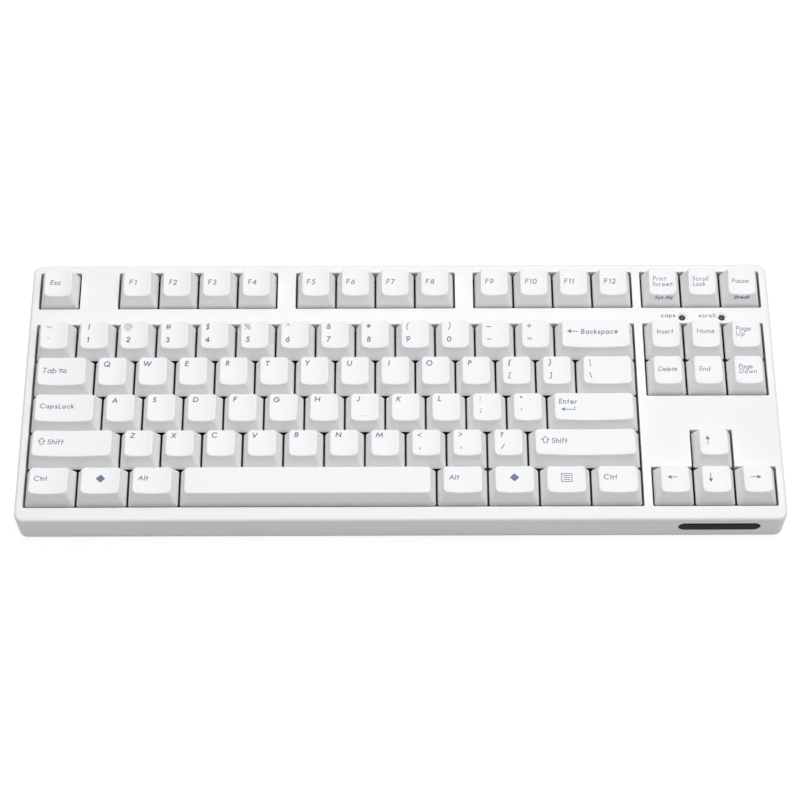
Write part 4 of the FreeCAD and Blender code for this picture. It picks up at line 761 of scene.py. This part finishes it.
def stroke_slab(left, right, closed, surface, raise_by):
    """A stroke as a thin closed slab on a surface: corners in deck mm, and its four-sided faces.

    The slab has four rows of corners: left and right on top, left and right below. Its faces are
    the top, the underside, two walls and, on an open stroke, a face at each end.
    """
    count = len(left)
    corners = np.concatenate([
        surface(left, raise_by), surface(right, raise_by),
        surface(left, -INK_SUNK), surface(right, -INK_SUNK),
    ])
    here = np.arange(count if closed else count - 1)
    there = (here + 1) % count
    top_left, top_right, low_left, low_right = 0, count, 2 * count, 3 * count
    faces = [
        np.stack([row_a + first, row_b + second, row_c + third, row_d + fourth], axis=1)
        for row_a, first, row_b, second, row_c, third, row_d, fourth in (
            (top_right, here, top_right, there, top_left, there, top_left, here),
            (low_left, here, low_left, there, low_right, there, low_right, here),
            (top_left, here, top_left, there, low_left, there, low_left, here),
            (low_right, here, low_right, there, top_right, there, top_right, here),
        )
    ]
    if not closed:
        last = count - 1
        faces.append(np.array([
            [top_left, low_left, low_right, top_right],
            [top_right + last, low_right + last, low_left + last, top_left + last],
        ]))
    return corners, np.concatenate(faces)


def sign_lines(character, left, baseline, capital, weight, slant):
    """A glyph's strokes in mm: scaled so that its inked height is the capital's, then slanted."""
    unit = capital - weight
    lines = []
    for stroke in GLYPHS[character][1]:
        line = stroke_line(stroke, unit, weight)
        line[:, :2] += (left + weight / 2, baseline + weight / 2)
        line[:, 0] += (line[:, 1] - baseline) * math.tan(slant)
        lines.append(line)
    return lines


def word_lines(text, left, baseline, capital, length, weight, slant):
    """A word's strokes: letters with the gap between them that makes the word its length."""
    unit = capital - weight
    widths = [WORD_SPACE * unit if c == " " else GLYPHS[c][0] * unit + weight for c in text]
    gap = (length - math.tan(slant) * capital - sum(widths)) / (len(text) - 1)
    lines = []
    for character, width in zip(text, widths):
        if character != " ":
            lines.append(sign_lines(character, left, baseline, capital, weight, slant))
        left += width + gap
    return lines


def mark_lines(mark, weight, slant):
    """The strokes of one mark as a list of glyphs, each a list of lines."""
    kind, what = mark[0], mark[1]
    if kind in ("word", "small"):
        return word_lines(*mark[1:], weight, slant)
    if kind == "symbol":
        return [[stroke_line(stroke, 1.0, weight) for stroke in what]]
    middle, baseline, capital = mark[2:]
    width = GLYPHS[what][0] * (capital - weight) + weight
    left = middle - width / 2 - math.tan(slant) * capital / 2
    return [sign_lines(what, left, baseline, capital, weight, slant)]


def print_marks(marks, surface, pens, slant, raise_by):
    """All marks of one surface as slabs: a list of (corners in frame metres, faces).

    The pens give each kind of mark its width in mm. Strokes of one glyph cross, so each lies
    OVERLAP_STEP above the one before.
    """
    slabs = []
    for mark in marks:
        weight = pens[mark[0]]
        for glyph in mark_lines(mark, weight, slant):
            for level, line in enumerate(glyph):
                own_ends = not np.allclose(line[:, 2], weight / 2)
                left, right, closed = ribbon_edges(line, not own_ends)
                lift = raise_by + level * OVERLAP_STEP
                corners, faces = stroke_slab(left, right, closed, surface, lift)
                slabs.append((to_frame(corners), faces))
    return slabs


def make_piece(name, slabs, material, body):
    """Joins slabs into one object in the frame, and lets it ride on a body."""
    starts = np.cumsum([0] + [len(corners) for corners, _ in slabs[:-1]])
    corners = np.concatenate([corners for corners, _ in slabs])
    faces = np.concatenate([faces + start for (_, faces), start in zip(slabs, starts)])
    mesh = bpy.data.meshes.new(name)
    mesh.from_pydata(corners.tolist(), [], faces.tolist())
    mesh.materials.append(material)
    piece = bpy.data.objects.new(name, mesh)
    bpy.context.scene.collection.objects.link(piece)
    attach(piece, body)


def print_keys(context, legends, find_surface, fields, slant, name):
    """Prints a table of legends on the keys, as one piece for each node and named after it.

    The fields give, for each kind of mark, the setting that holds the width of its pen.
    """
    sizes = context.scene.keyboard_legends
    ink = make_material("slate_ink", context.scene.keyboard_finish)
    pens = {kind: getattr(sizes, field) / MM for kind, field in fields.items()}
    for node, keys in legends.items():
        widths = np.array(KEY_WIDTHS.get(node, (1.0,) * len(keys)))
        triangles, normals = deck_triangles(node)
        middles = key_middles(node, triangles, widths)
        slabs = []
        for marks, middle, width in zip(keys, middles, widths, strict=True):
            surface = find_surface(triangles, normals, middle, width)
            slabs += print_marks(marks, surface, pens, slant, sizes.raise_by / MM)
        make_piece(name % node, slabs, ink, node)


# ---------------------------------------------------------------------------------------------
# Label: its rings are (share of the outline's size, share of the thickness below the glue)
# ---------------------------------------------------------------------------------------------

LEVEL_SHARE = 0.999
LEVEL_STEP = 0.01 * MM
RECESS_DEPTH = (0.1 * MM, 0.6 * MM)
LABEL_GAP = 0.4 * MM
LABEL_GLUED = 0.01 * MM
CORNER_POINTS = 12
LABEL_RINGS = np.array([(1.0, 0.0), (1.0, 0.6), (0.997, 0.9), (0.99, 1.0), (0.5, 1.0)])


def label_recess(node):
    """Two corners of the shallow recess in a node's underside, its ceiling as their height.

    The recess is what faces down a little above the underside's widest level part.
    """
    triangles = node_triangles(node)
    crossed = crossed_sides(triangles)
    areas = np.linalg.norm(crossed, axis=1)
    flat = np.ptp(triangles[..., 2], axis=1) < LEVEL_STEP
    level = (crossed[:, 2] < -LEVEL_SHARE * areas) & flat
    heights = triangles[level][:, 0, 2]
    found, place = np.unique(np.round(heights / LEVEL_STEP), return_inverse=True)
    base = found[np.argmax(np.bincount(place, weights=areas[level]))] * LEVEL_STEP
    above = (heights > base + RECESS_DEPTH[0]) & (heights < base + RECESS_DEPTH[1])
    spots = triangles[level][above].reshape(-1, 3)
    return spots.min(axis=0), spots.max(axis=0)


def label_sheet(low, high, corner, thickness):
    """A thin sheet with round corners and a softly broken edge: corners in metres, and triangles.

    Its outline is four quarter circles, point = corner's middle + radius times (cos, sin), joined
    by straight sides. Rings of that outline, scaled and lowered by LABEL_RINGS, run from the glued
    side round the edge to the face, and a fan to the middle closes each side.
    """
    middle = (low[:2] + high[:2]) / 2
    half = (high[:2] - low[:2]) / 2 - LABEL_GAP
    turns = np.radians(np.linspace(0, 90, CORNER_POINTS) + np.array([[0], [90], [180], [270]]))
    ways = np.array([[1, 1], [-1, 1], [-1, -1], [1, -1]])[:, None, :]
    arcs = np.stack([np.cos(turns), np.sin(turns)], axis=2) * corner
    outline = ((half - corner) * ways + arcs).reshape(-1, 2)
    scales, drops = LABEL_RINGS.T
    heights = np.repeat(low[2] + LABEL_GLUED - drops * thickness, len(outline))
    flat = (outline * scales[:, None, None]).reshape(-1, 2) + middle
    ends = [[*middle, heights[0]], [*middle, heights[-1]]]
    points = np.concatenate([np.column_stack([flat, heights]), ends])
    count = len(outline)
    here = np.arange(count)
    there = (here + 1) % count
    rows = [
        np.stack(three, axis=1)
        for start in range(0, (len(scales) - 1) * count, count)
        for three in (
            (start + here, start + count + here, start + count + there),
            (start + here, start + count + there, start + there),
        )
    ]
    last = (len(scales) - 1) * count
    glued, face = len(points) - 2, len(points) - 1
    rows.append(np.stack([here, there, np.full(count, glued)], axis=1))
    rows.append(np.stack([last + there, last + here, np.full(count, face)], axis=1))
    return points, np.concatenate(rows)


# ---------------------------------------------------------------------------------------------
# Materials. A finish is what a real material shows. Its colours are two codes, or a setting with
# two steps from it. Its patterns are the relief, and where they differ from it the tone, which
# blends the colours, and the gloss, which sets the roughness. The depth of the relief is in mm.
# ---------------------------------------------------------------------------------------------

# Most of a noise lies between these, so they are what goes to the two ends of the roughness
NOISE_LOW, NOISE_HIGH = 0.3, 0.7
EVEN = (1.0, 1.0, 1.0)


def grain(size, detail=2.0, stretch=EVEN):
    """A noise whose features are about size mm across, drawn out along the axes by stretch."""
    return "ShaderNodeTexNoise", {"Scale": 1.0 / (size * MM), "Detail": detail}, stretch


# Copper tracks in rows 1.26 mm apart, each broken every 12.6 mm
TRACKS = ("ShaderNodeTexBrick", {
    "Scale": 1.0 / (3.0 * MM), "Mortar Size": 0.09, "Mortar Smooth": 0.2, "Brick Width": 4.2,
    "Row Height": 0.42,
}, EVEN)

# Drawing lines along X, as the long bars of the wires lie
WIRE_LINES = grain(0.3, stretch=(6.0, 1.0, 1.0))

FINISHES = {
    # White ABS from a spark-eroded mould: an even, fine matt grain that softens every glint
    "moulded_white_abs": {
        "colours": ("shell", -2, 1), "tone": grain(38.0), "relief": grain(0.45, 3.0),
        "roughness": (0.42, 0.54), "depth": 0.012, "shader": {"IOR": 1.54},
    },
    # White PBT keycaps: drier and a little cooler than the case, with a sandy touch
    "white_pbt": {
        "colours": ("caps", -1, 1), "tone": grain(9.0), "relief": grain(0.32, 3.0),
        "roughness": (0.5, 0.66), "depth": 0.014, "shader": {"IOR": 1.57},
    },
    # Slate ink that has soaked into the cap: matt, and a little uneven in its depth
    "slate_ink": {
        "colours": ("ink", -6, 8), "relief": grain(0.5, 3.0),
        "roughness": (0.55, 0.68), "depth": 0.008, "shader": {"IOR": 1.5},
    },
    # Grey pad-printed ink on the case: a thin even film, a touch glossier than the grain
    "grey_ink": {
        "colours": ("fine_ink", -5, 6), "relief": grain(0.4, 3.0),
        "roughness": (0.42, 0.55), "depth": 0.006, "shader": {"IOR": 1.5},
    },
    # Black powder coat on the steel plate: fine orange peel under a low sheen
    "black_powder_coat": {
        "colours": ("17181A", "1F2022"), "relief": grain(0.9),
        "roughness": (0.4, 0.55), "depth": 0.03, "shader": {"IOR": 1.5},
    },
    # Dark green solder mask: glossy, lighter and raised where copper tracks run under it
    "green_solder_mask": {
        "colours": ("16382A", "2A5B42"), "gloss": grain(14.0), "relief": TRACKS,
        "roughness": (0.22, 0.34), "depth": 0.035, "shader": {"IOR": 1.5},
    },
    # Black epoxy of the chips: dull, with the mould's fine speckle
    "black_epoxy": {
        "colours": ("1B1B1C", "262627"), "relief": grain(0.3, 3.0),
        "roughness": (0.5, 0.7), "depth": 0.01, "shader": {"IOR": 1.55},
    },
    # Black glass-filled nylon of the switches: satin, with faint flow marks along the mould
    "black_nylon": {
        "colours": ("19191B", "232325"), "relief": grain(1.2, stretch=(4.0, 1.0, 1.0)),
        "roughness": (0.36, 0.5), "depth": 0.01, "shader": {"IOR": 1.53},
    },
    # Natural black acetal of the stabiliser clips: smoother and slicker than the switches
    "black_acetal": {
        "colours": ("141415", "1D1D1F"), "relief": grain(2.0),
        "roughness": (0.28, 0.4), "depth": 0.008, "shader": {"IOR": 1.48},
    },
    # Brass contact strip: warm metal with the fine lines of rolling up and down it
    "stamped_brass": {
        "colours": ("B8923E", "D8B462"), "relief": grain(0.25, stretch=(1.0, 1.0, 12.0)),
        "roughness": (0.22, 0.38), "depth": 0.004, "shader": {"Metallic": 1.0},
    },
    # Drawn stainless spring wire: bright and a little warm
    "stainless_spring_wire": {
        "colours": ("A8A49C", "CBC8C1"), "relief": WIRE_LINES,
        "roughness": (0.2, 0.34), "depth": 0.004, "shader": {"Metallic": 1.0},
    },
    # Nickel-plated stabiliser wire: greased and brighter than the springs
    "plated_wire": {
        "colours": ("AEB0B2", "D2D4D6"), "relief": WIRE_LINES,
        "roughness": (0.14, 0.26), "depth": 0.004, "shader": {"Metallic": 1.0},
    },
    # Zinc-plated screws: pale grey metal with a cloudy, faintly blue passivation
    "zinc_plate": {
        "colours": ("9DA3A8", "C3C7C9"), "relief": grain(1.4, 3.0),
        "roughness": (0.26, 0.44), "depth": 0.006, "shader": {"Metallic": 1.0},
    },
    # Grey rubber pads: no shine, dusted, with a pebbled skin
    "grey_rubber": {
        "colours": ("3A3B3D", "484A4C"), "tone": grain(7.0), "relief": grain(0.6, 3.0),
        "roughness": (0.74, 0.9), "depth": 0.03, "shader": {"IOR": 1.52},
    },
    # Black PVC of the lead's grommet: smooth, soft and faintly bloomed
    "black_pvc": {
        "colours": ("1C1D1E", "2A2B2D"), "relief": grain(3.0),
        "roughness": (0.45, 0.62), "depth": 0.012, "shader": {"IOR": 1.53},
    },
    # Smoked acrylic of the unlit lights: dark, clear-faced, with a glossy skin over it
    "smoked_acrylic": {
        "colours": ("24221F", "37332E"), "relief": grain(1.5), "roughness": (0.2, 0.3),
        "depth": 0.004, "shader": {"IOR": 1.49, "Coat Weight": 0.25, "Coat Roughness": 0.1},
    },
    # Anodised aluminium badge: a dark dyed skin over fine brushing along its length. The dye
    # takes up most of what the skin would mirror
    "anodised_aluminium": {
        "colours": ("badge", -5, 6), "relief": grain(0.22, stretch=(30.0, 1.0, 1.0)),
        "roughness": (0.44, 0.56), "depth": 0.006,
        "shader": {"IOR": 1.45, "Specular IOR Level": 0.08},
    },
    # Blank polyester label: silver-grey satin film with a faint cloudy weave in its gloss
    "satin_polyester": {
        "colours": ("C4C6C8", "CFD1D2"), "relief": grain(0.5, stretch=(3.0, 1.0, 1.0)),
        "roughness": (0.3, 0.4), "depth": 0.004, "shader": {"IOR": 1.6},
    },
}

SLOT_FINISHES = {
    "case_shell": "moulded_white_abs",
    "case_base": "moulded_white_abs",
    "keycap_white": "white_pbt",
    "plate_paint": "black_powder_coat",
    "board_laminate": "green_solder_mask",
    "chip_black": "black_epoxy",
    "switch_housing": "black_nylon",
    "clip_black": "black_acetal",
    "contact_brass": "stamped_brass",
    "spring_steel": "stainless_spring_wire",
    "wire_steel": "plated_wire",
    "screw_steel": "zinc_plate",
    "pad_rubber": "grey_rubber",
    "gland_rubber": "black_pvc",
    "light_lens": "smoked_acrylic",
    "badge_dark": "anodised_aluminium",
}


def channels(code):
    """Red, green and blue of six hexadecimal digits, each from 0 to 255."""
    return [int(code[start:start + 2], 16) for start in (0, 2, 4)]


def linear(code):
    """Six hexadecimal digits of a screen colour to linear red, green, blue and full opacity."""
    parts = [part / 255 for part in channels(code)]
    light = [
        part / 12.92 if part <= 0.04045 else ((part + 0.055) / 1.055) ** 2.4 for part in parts
    ]
    return (*light, 1.0)


def finish_colours(settings, first, *others):
    """The two colours of a finish: two codes, or a setting a few steps of 255 either way."""
    if len(others) == 1:
        return linear(first), linear(*others)
    own = channels(getattr(settings, first))
    return [
        linear("%02X%02X%02X" % tuple(min(255, max(0, part + step)) for part in own))
        for step in others
    ]


def add_node(tree, kind, sockets=None, **settings):
    """Adds a shader node with its settings; a socket gets a value, or a link from an output."""
    made = tree.nodes.new(kind)
    for name, value in settings.items():
        setattr(made, name, value)
    for name, value in (sockets or {}).items():
        if isinstance(value, bpy.types.NodeSocket):
            tree.links.new(value, made.inputs[name])
        else:
            made.inputs[name].default_value = value
    return made


def make_material(name, settings):
    """Builds a material from its finish: patterns on the object's own coordinates, one shader."""
    finish = FINISHES[name]
    material = bpy.data.materials.get(name) or bpy.data.materials.new(name)
    material.use_nodes = True
    tree = material.node_tree
    tree.nodes.clear()
    place = add_node(tree, "ShaderNodeTexCoord").outputs["Object"]
    patterns = {}
    for use in ("relief", "tone", "gloss"):
        if use not in finish:
            patterns[use] = patterns["relief"]
            continue
        kind, sockets, stretch = finish[use]
        scale = tuple(1.0 / part for part in stretch)
        turned = add_node(tree, "ShaderNodeMapping", {"Vector": place, "Scale": scale})
        sockets = {"Vector": turned.outputs["Vector"], **sockets}
        patterns[use] = add_node(tree, kind, sockets).outputs["Fac"]
    first, second = finish_colours(settings, *finish["colours"])
    blend = {0: patterns["tone"], 6: first, 7: second}
    colour = add_node(tree, "ShaderNodeMix", blend, data_type="RGBA").outputs[2]
    low, high = finish["roughness"]
    spread = {
        "Value": patterns["gloss"], "From Min": NOISE_LOW, "From Max": NOISE_HIGH,
        "To Min": low, "To Max": high,
    }
    roughness = add_node(tree, "ShaderNodeMapRange", spread).outputs["Result"]
    bump = {"Height": patterns["relief"], "Distance": finish["depth"] * MM}
    normal = add_node(tree, "ShaderNodeBump", bump).outputs["Normal"]
    sockets = {"Base Color": colour, "Roughness": roughness, "Normal": normal}
    surface = add_node(tree, "ShaderNodeBsdfPrincipled", {**sockets, **finish["shader"]})
    add_node(tree, "ShaderNodeOutputMaterial", {"Surface": surface.outputs["BSDF"]})
    return material


# ---------------------------------------------------------------------------------------------
# Operators
# ---------------------------------------------------------------------------------------------


class KEYBOARD_OT_finish_solids(Operator):
    """Give every solid of the keyboard the finish of its real material"""

    bl_idname = "keyboard.finish_solids"
    bl_label = "Finish the solids"

    def execute(self, context):
        settings = context.scene.keyboard_finish
        made = {slot: make_material(name, settings) for slot, name in SLOT_FINISHES.items()}
        for node, solid in frame["nodes"].items():
            for holder in solid.material_slots:
                slot = holder.material.name
                if slot not in made:
                    raise RuntimeError("no finish for slot %s of %s" % (slot, node))
                holder.material = made[slot]
        return {"FINISHED"}


class KEYBOARD_OT_print_caps(Operator):
    """Print the legends on the tops of the keycaps"""

    bl_idname = "keyboard.print_caps"
    bl_label = "Print the keycaps"

    def execute(self, context):
        slant = context.scene.keyboard_legends.slant
        pens = {kind: kind for kind in ("word", "small", "letter", "sign", "fine", "symbol")}
        print_keys(context, LEGENDS, top_surface, pens, slant, "%s_legends")
        return {"FINISHED"}


class KEYBOARD_OT_print_fronts(Operator):
    """Print the second legends on the fronts of the keycaps"""

    bl_idname = "keyboard.print_fronts"
    bl_label = "Print the key fronts"

    def execute(self, context):
        slant = context.scene.keyboard_legends.front_slant
        pens = {"word": "front"}
        print_keys(context, FRONT_LEGENDS, front_surface, pens, slant, "%s_front_legends")
        return {"FINISHED"}


class KEYBOARD_OT_print_light_words(Operator):
    """Print the word beside each indicator light"""

    bl_idname = "keyboard.print_light_words"
    bl_label = "Print the words of the lights"

    def execute(self, context):
        sizes = context.scene.keyboard_legends
        ink = make_material("grey_ink", context.scene.keyboard_finish)
        pens = {"word": sizes.light / MM}
        shell, _ = deck_triangles("top_case")
        lights, _ = deck_triangles("indicator_lights")
        surface = level_surface(shell[..., 2].max())
        columns = (lights[..., 0].min(), lights[..., 0].max())
        centre = (lights[..., 1].min() + lights[..., 1].max()) / 2
        radius = (lights[..., 1].max() - lights[..., 1].min()) / 2
        slabs = []
        for (text, left, low, length), edge, side in zip(LIGHT_WORDS, columns, (radius, -radius)):
            mark = word(text, edge + side + left, centre + low, LIGHT_CAPITAL, length)
            slabs += print_marks([mark], surface, pens, 0.0, sizes.raise_by / MM)
        make_piece("light_words", slabs, ink, "case")
        return {"FINISHED"}


class KEYBOARD_OT_stick_label(Operator):
    """Stick the blank label into the recess under the base"""

    bl_idname = "keyboard.stick_label"
    bl_label = "Stick the label"

    def execute(self, context):
        sizes = context.scene.keyboard_legends
        low, high = label_recess("bottom_case")
        corners, faces = label_sheet(low, high, sizes.label_corner, sizes.label_thickness)
        material = make_material("satin_polyester", context.scene.keyboard_finish)
        make_piece("blank_label", [(corners, faces)], material, "case")
        return {"FINISHED"}


class KEYBOARD_OT_set_stage(Operator):
    """Lay the floor, hang the lamp and set the camera"""

    bl_idname = "keyboard.set_stage"
    bl_label = "Set the stage"

    def execute(self, context):
        stage = context.scene.keyboard_stage
        low, high = CAD_BOX
        middle = (low + high) / 2
        lay_floor(stage.floor_size, low.z)
        hang_lamp(stage, middle)
        light_world(context.scene, stage.ambient)
        set_camera(context.scene, stage, middle + Vector(stage.aim))
        context.scene.view_settings.view_transform = "Standard"
        return {"FINISHED"}


# ---------------------------------------------------------------------------------------------
# Stage: the share of the object's shadow that the floor keeps, and the strength of its own glow,
# which together bring the floor that is seen to white
# ---------------------------------------------------------------------------------------------

PAPER = "D6D6D5"
WHITE = "FFFFFF"
DAYLIGHT = "FDFEFF"
FLOOR_SHADOW = 0.25
FLOOR_GLOW = 1.19
SENSOR_WIDTH = 36.0
CLIP_NEAR, CLIP_FAR = 0.05, 50.0


def seen_directly(tree):
    """1 for camera, glossy and transmission rays, 0 for the light that the object gets."""
    path = add_node(tree, "ShaderNodeLightPath").outputs
    some = {0: path["Is Camera Ray"], 1: path["Is Glossy Ray"]}
    either = add_node(tree, "ShaderNodeMath", some, operation="ADD", use_clamp=True)
    more = {0: either.outputs[0], 1: path["Is Transmission Ray"]}
    return add_node(tree, "ShaderNodeMath", more, operation="ADD", use_clamp=True).outputs[0]


def lay_floor(size, height):
    """A level white sheet that shows white and keeps a share of the object's shadow."""
    material = bpy.data.materials.new("studio_paper")
    material.use_nodes = True
    tree = material.node_tree
    tree.nodes.clear()
    paper = add_node(tree, "ShaderNodeBsdfDiffuse", {"Color": linear(PAPER)})
    white = {"Color": linear(WHITE), "Strength": FLOOR_GLOW}
    glow = add_node(tree, "ShaderNodeEmission", white)
    share = {0: seen_directly(tree), 1: 1 - FLOOR_SHADOW}
    factor = add_node(tree, "ShaderNodeMath", share, operation="MULTIPLY")
    both = {0: factor.outputs[0], 1: paper.outputs["BSDF"], 2: glow.outputs["Emission"]}
    mixed = add_node(tree, "ShaderNodeMixShader", both)
    add_node(tree, "ShaderNodeOutputMaterial", {"Surface": mixed.outputs["Shader"]})
    half = size / 2
    corners = [(x * half, y * half, height) for x, y in ((-1, -1), (1, -1), (1, 1), (-1, 1))]
    mesh = bpy.data.meshes.new("floor")
    mesh.from_pydata(corners, [], [(0, 1, 2, 3)])
    mesh.materials.append(material)
    floor = bpy.data.objects.new("floor", mesh)
    bpy.context.scene.collection.objects.link(floor)


def hang_lamp(stage, middle):
    """A wide lamp over the object, a little behind it and to its right, facing its middle."""
    lamp = bpy.data.lights.new("overhead", "AREA")
    lamp.shape = "RECTANGLE"
    lamp.size = stage.lamp_length
    lamp.size_y = stage.lamp_width
    lamp.energy = stage.lamp_power
    hung = bpy.data.objects.new("overhead", lamp)
    away = Vector(stage.lamp_place)
    hung.location = middle + away
    hung.rotation_euler = away.to_track_quat("Z", "Y").to_euler()
    bpy.context.scene.collection.objects.link(hung)


def light_world(scene, ambient):
    """Soft light from all round, with white where the surroundings are seen or mirrored."""
    world = bpy.data.worlds.new("studio")
    scene.world = world
    world.use_nodes = True
    tree = world.node_tree
    tree.nodes.clear()
    soft = add_node(tree, "ShaderNodeBackground", {"Color": linear(DAYLIGHT), "Strength": ambient})
    white = add_node(tree, "ShaderNodeBackground", {"Color": linear(WHITE), "Strength": 1.0})
    both = {0: seen_directly(tree), 1: soft.outputs[0], 2: white.outputs[0]}
    mixed = add_node(tree, "ShaderNodeMixShader", both)
    add_node(tree, "ShaderNodeOutputWorld", {"Surface": mixed.outputs[0]})


def set_camera(scene, stage, aim):
    """The camera stands off the aim by its distance, azimuth and elevation, and looks at it."""
    away = Vector((
        math.cos(stage.elevation) * math.sin(stage.azimuth),
        -math.cos(stage.elevation) * math.cos(stage.azimuth),
        math.sin(stage.elevation),
    ))
    lens = bpy.data.cameras.new("camera")
    lens.lens = stage.lens
    lens.sensor_width = SENSOR_WIDTH
    lens.clip_start, lens.clip_end = CLIP_NEAR, CLIP_FAR
    camera = bpy.data.objects.new("camera", lens)
    camera.location = aim + away * stage.distance
    camera.rotation_euler = (-away).to_track_quat("-Z", "Y").to_euler()
    scene.collection.objects.link(camera)
    scene.camera = camera


# ---------------------------------------------------------------------------------------------
# Panel and registration
# ---------------------------------------------------------------------------------------------

OPERATORS = (
    KEYBOARD_OT_finish_solids,
    KEYBOARD_OT_print_caps,
    KEYBOARD_OT_print_fronts,
    KEYBOARD_OT_print_light_words,
    KEYBOARD_OT_stick_label,
    KEYBOARD_OT_set_stage,
)
SETTINGS = {
    "keyboard_legends": LegendSettings,
    "keyboard_finish": FinishSettings,
    "keyboard_stage": StageSettings,
}


class KEYBOARD_PT_finish(Panel):
    """Lists the steps and their settings"""

    bl_idname = "KEYBOARD_PT_finish"
    bl_label = "Keyboard finish"
    bl_space_type = "VIEW_3D"
    bl_region_type = "UI"
    bl_category = "Keyboard"

    def draw(self, context):
        for operator in OPERATORS:
            self.layout.operator(operator.bl_idname)
        for name, group in SETTINGS.items():
            box = self.layout.box()
            box.label(text=group.__doc__.rstrip("."))
            for field in group.__annotations__:
                box.prop(getattr(context.scene, name), field)


def register():
    """Registers the settings, the operators and the panel."""
    for name, group in SETTINGS.items():
        bpy.utils.register_class(group)
        setattr(bpy.types.Scene, name, PointerProperty(type=group))
    for shown in OPERATORS + (KEYBOARD_PT_finish,):
        bpy.utils.register_class(shown)


def unregister():
    """Takes everything back in the opposite order."""
    for shown in (KEYBOARD_PT_finish,) + OPERATORS[::-1]:
        bpy.utils.unregister_class(shown)
    for name, group in reversed(SETTINGS.items()):
        delattr(bpy.types.Scene, name)
        bpy.utils.unregister_class(group)


def main():
    """Runs every step in order."""
    register()
    bpy.ops.keyboard.set_stage()
    bpy.ops.keyboard.finish_solids()
    bpy.ops.keyboard.print_caps()
    bpy.ops.keyboard.print_fronts()
    bpy.ops.keyboard.print_light_words()
    bpy.ops.keyboard.stick_label()


if __name__ == "__main__":
    main()
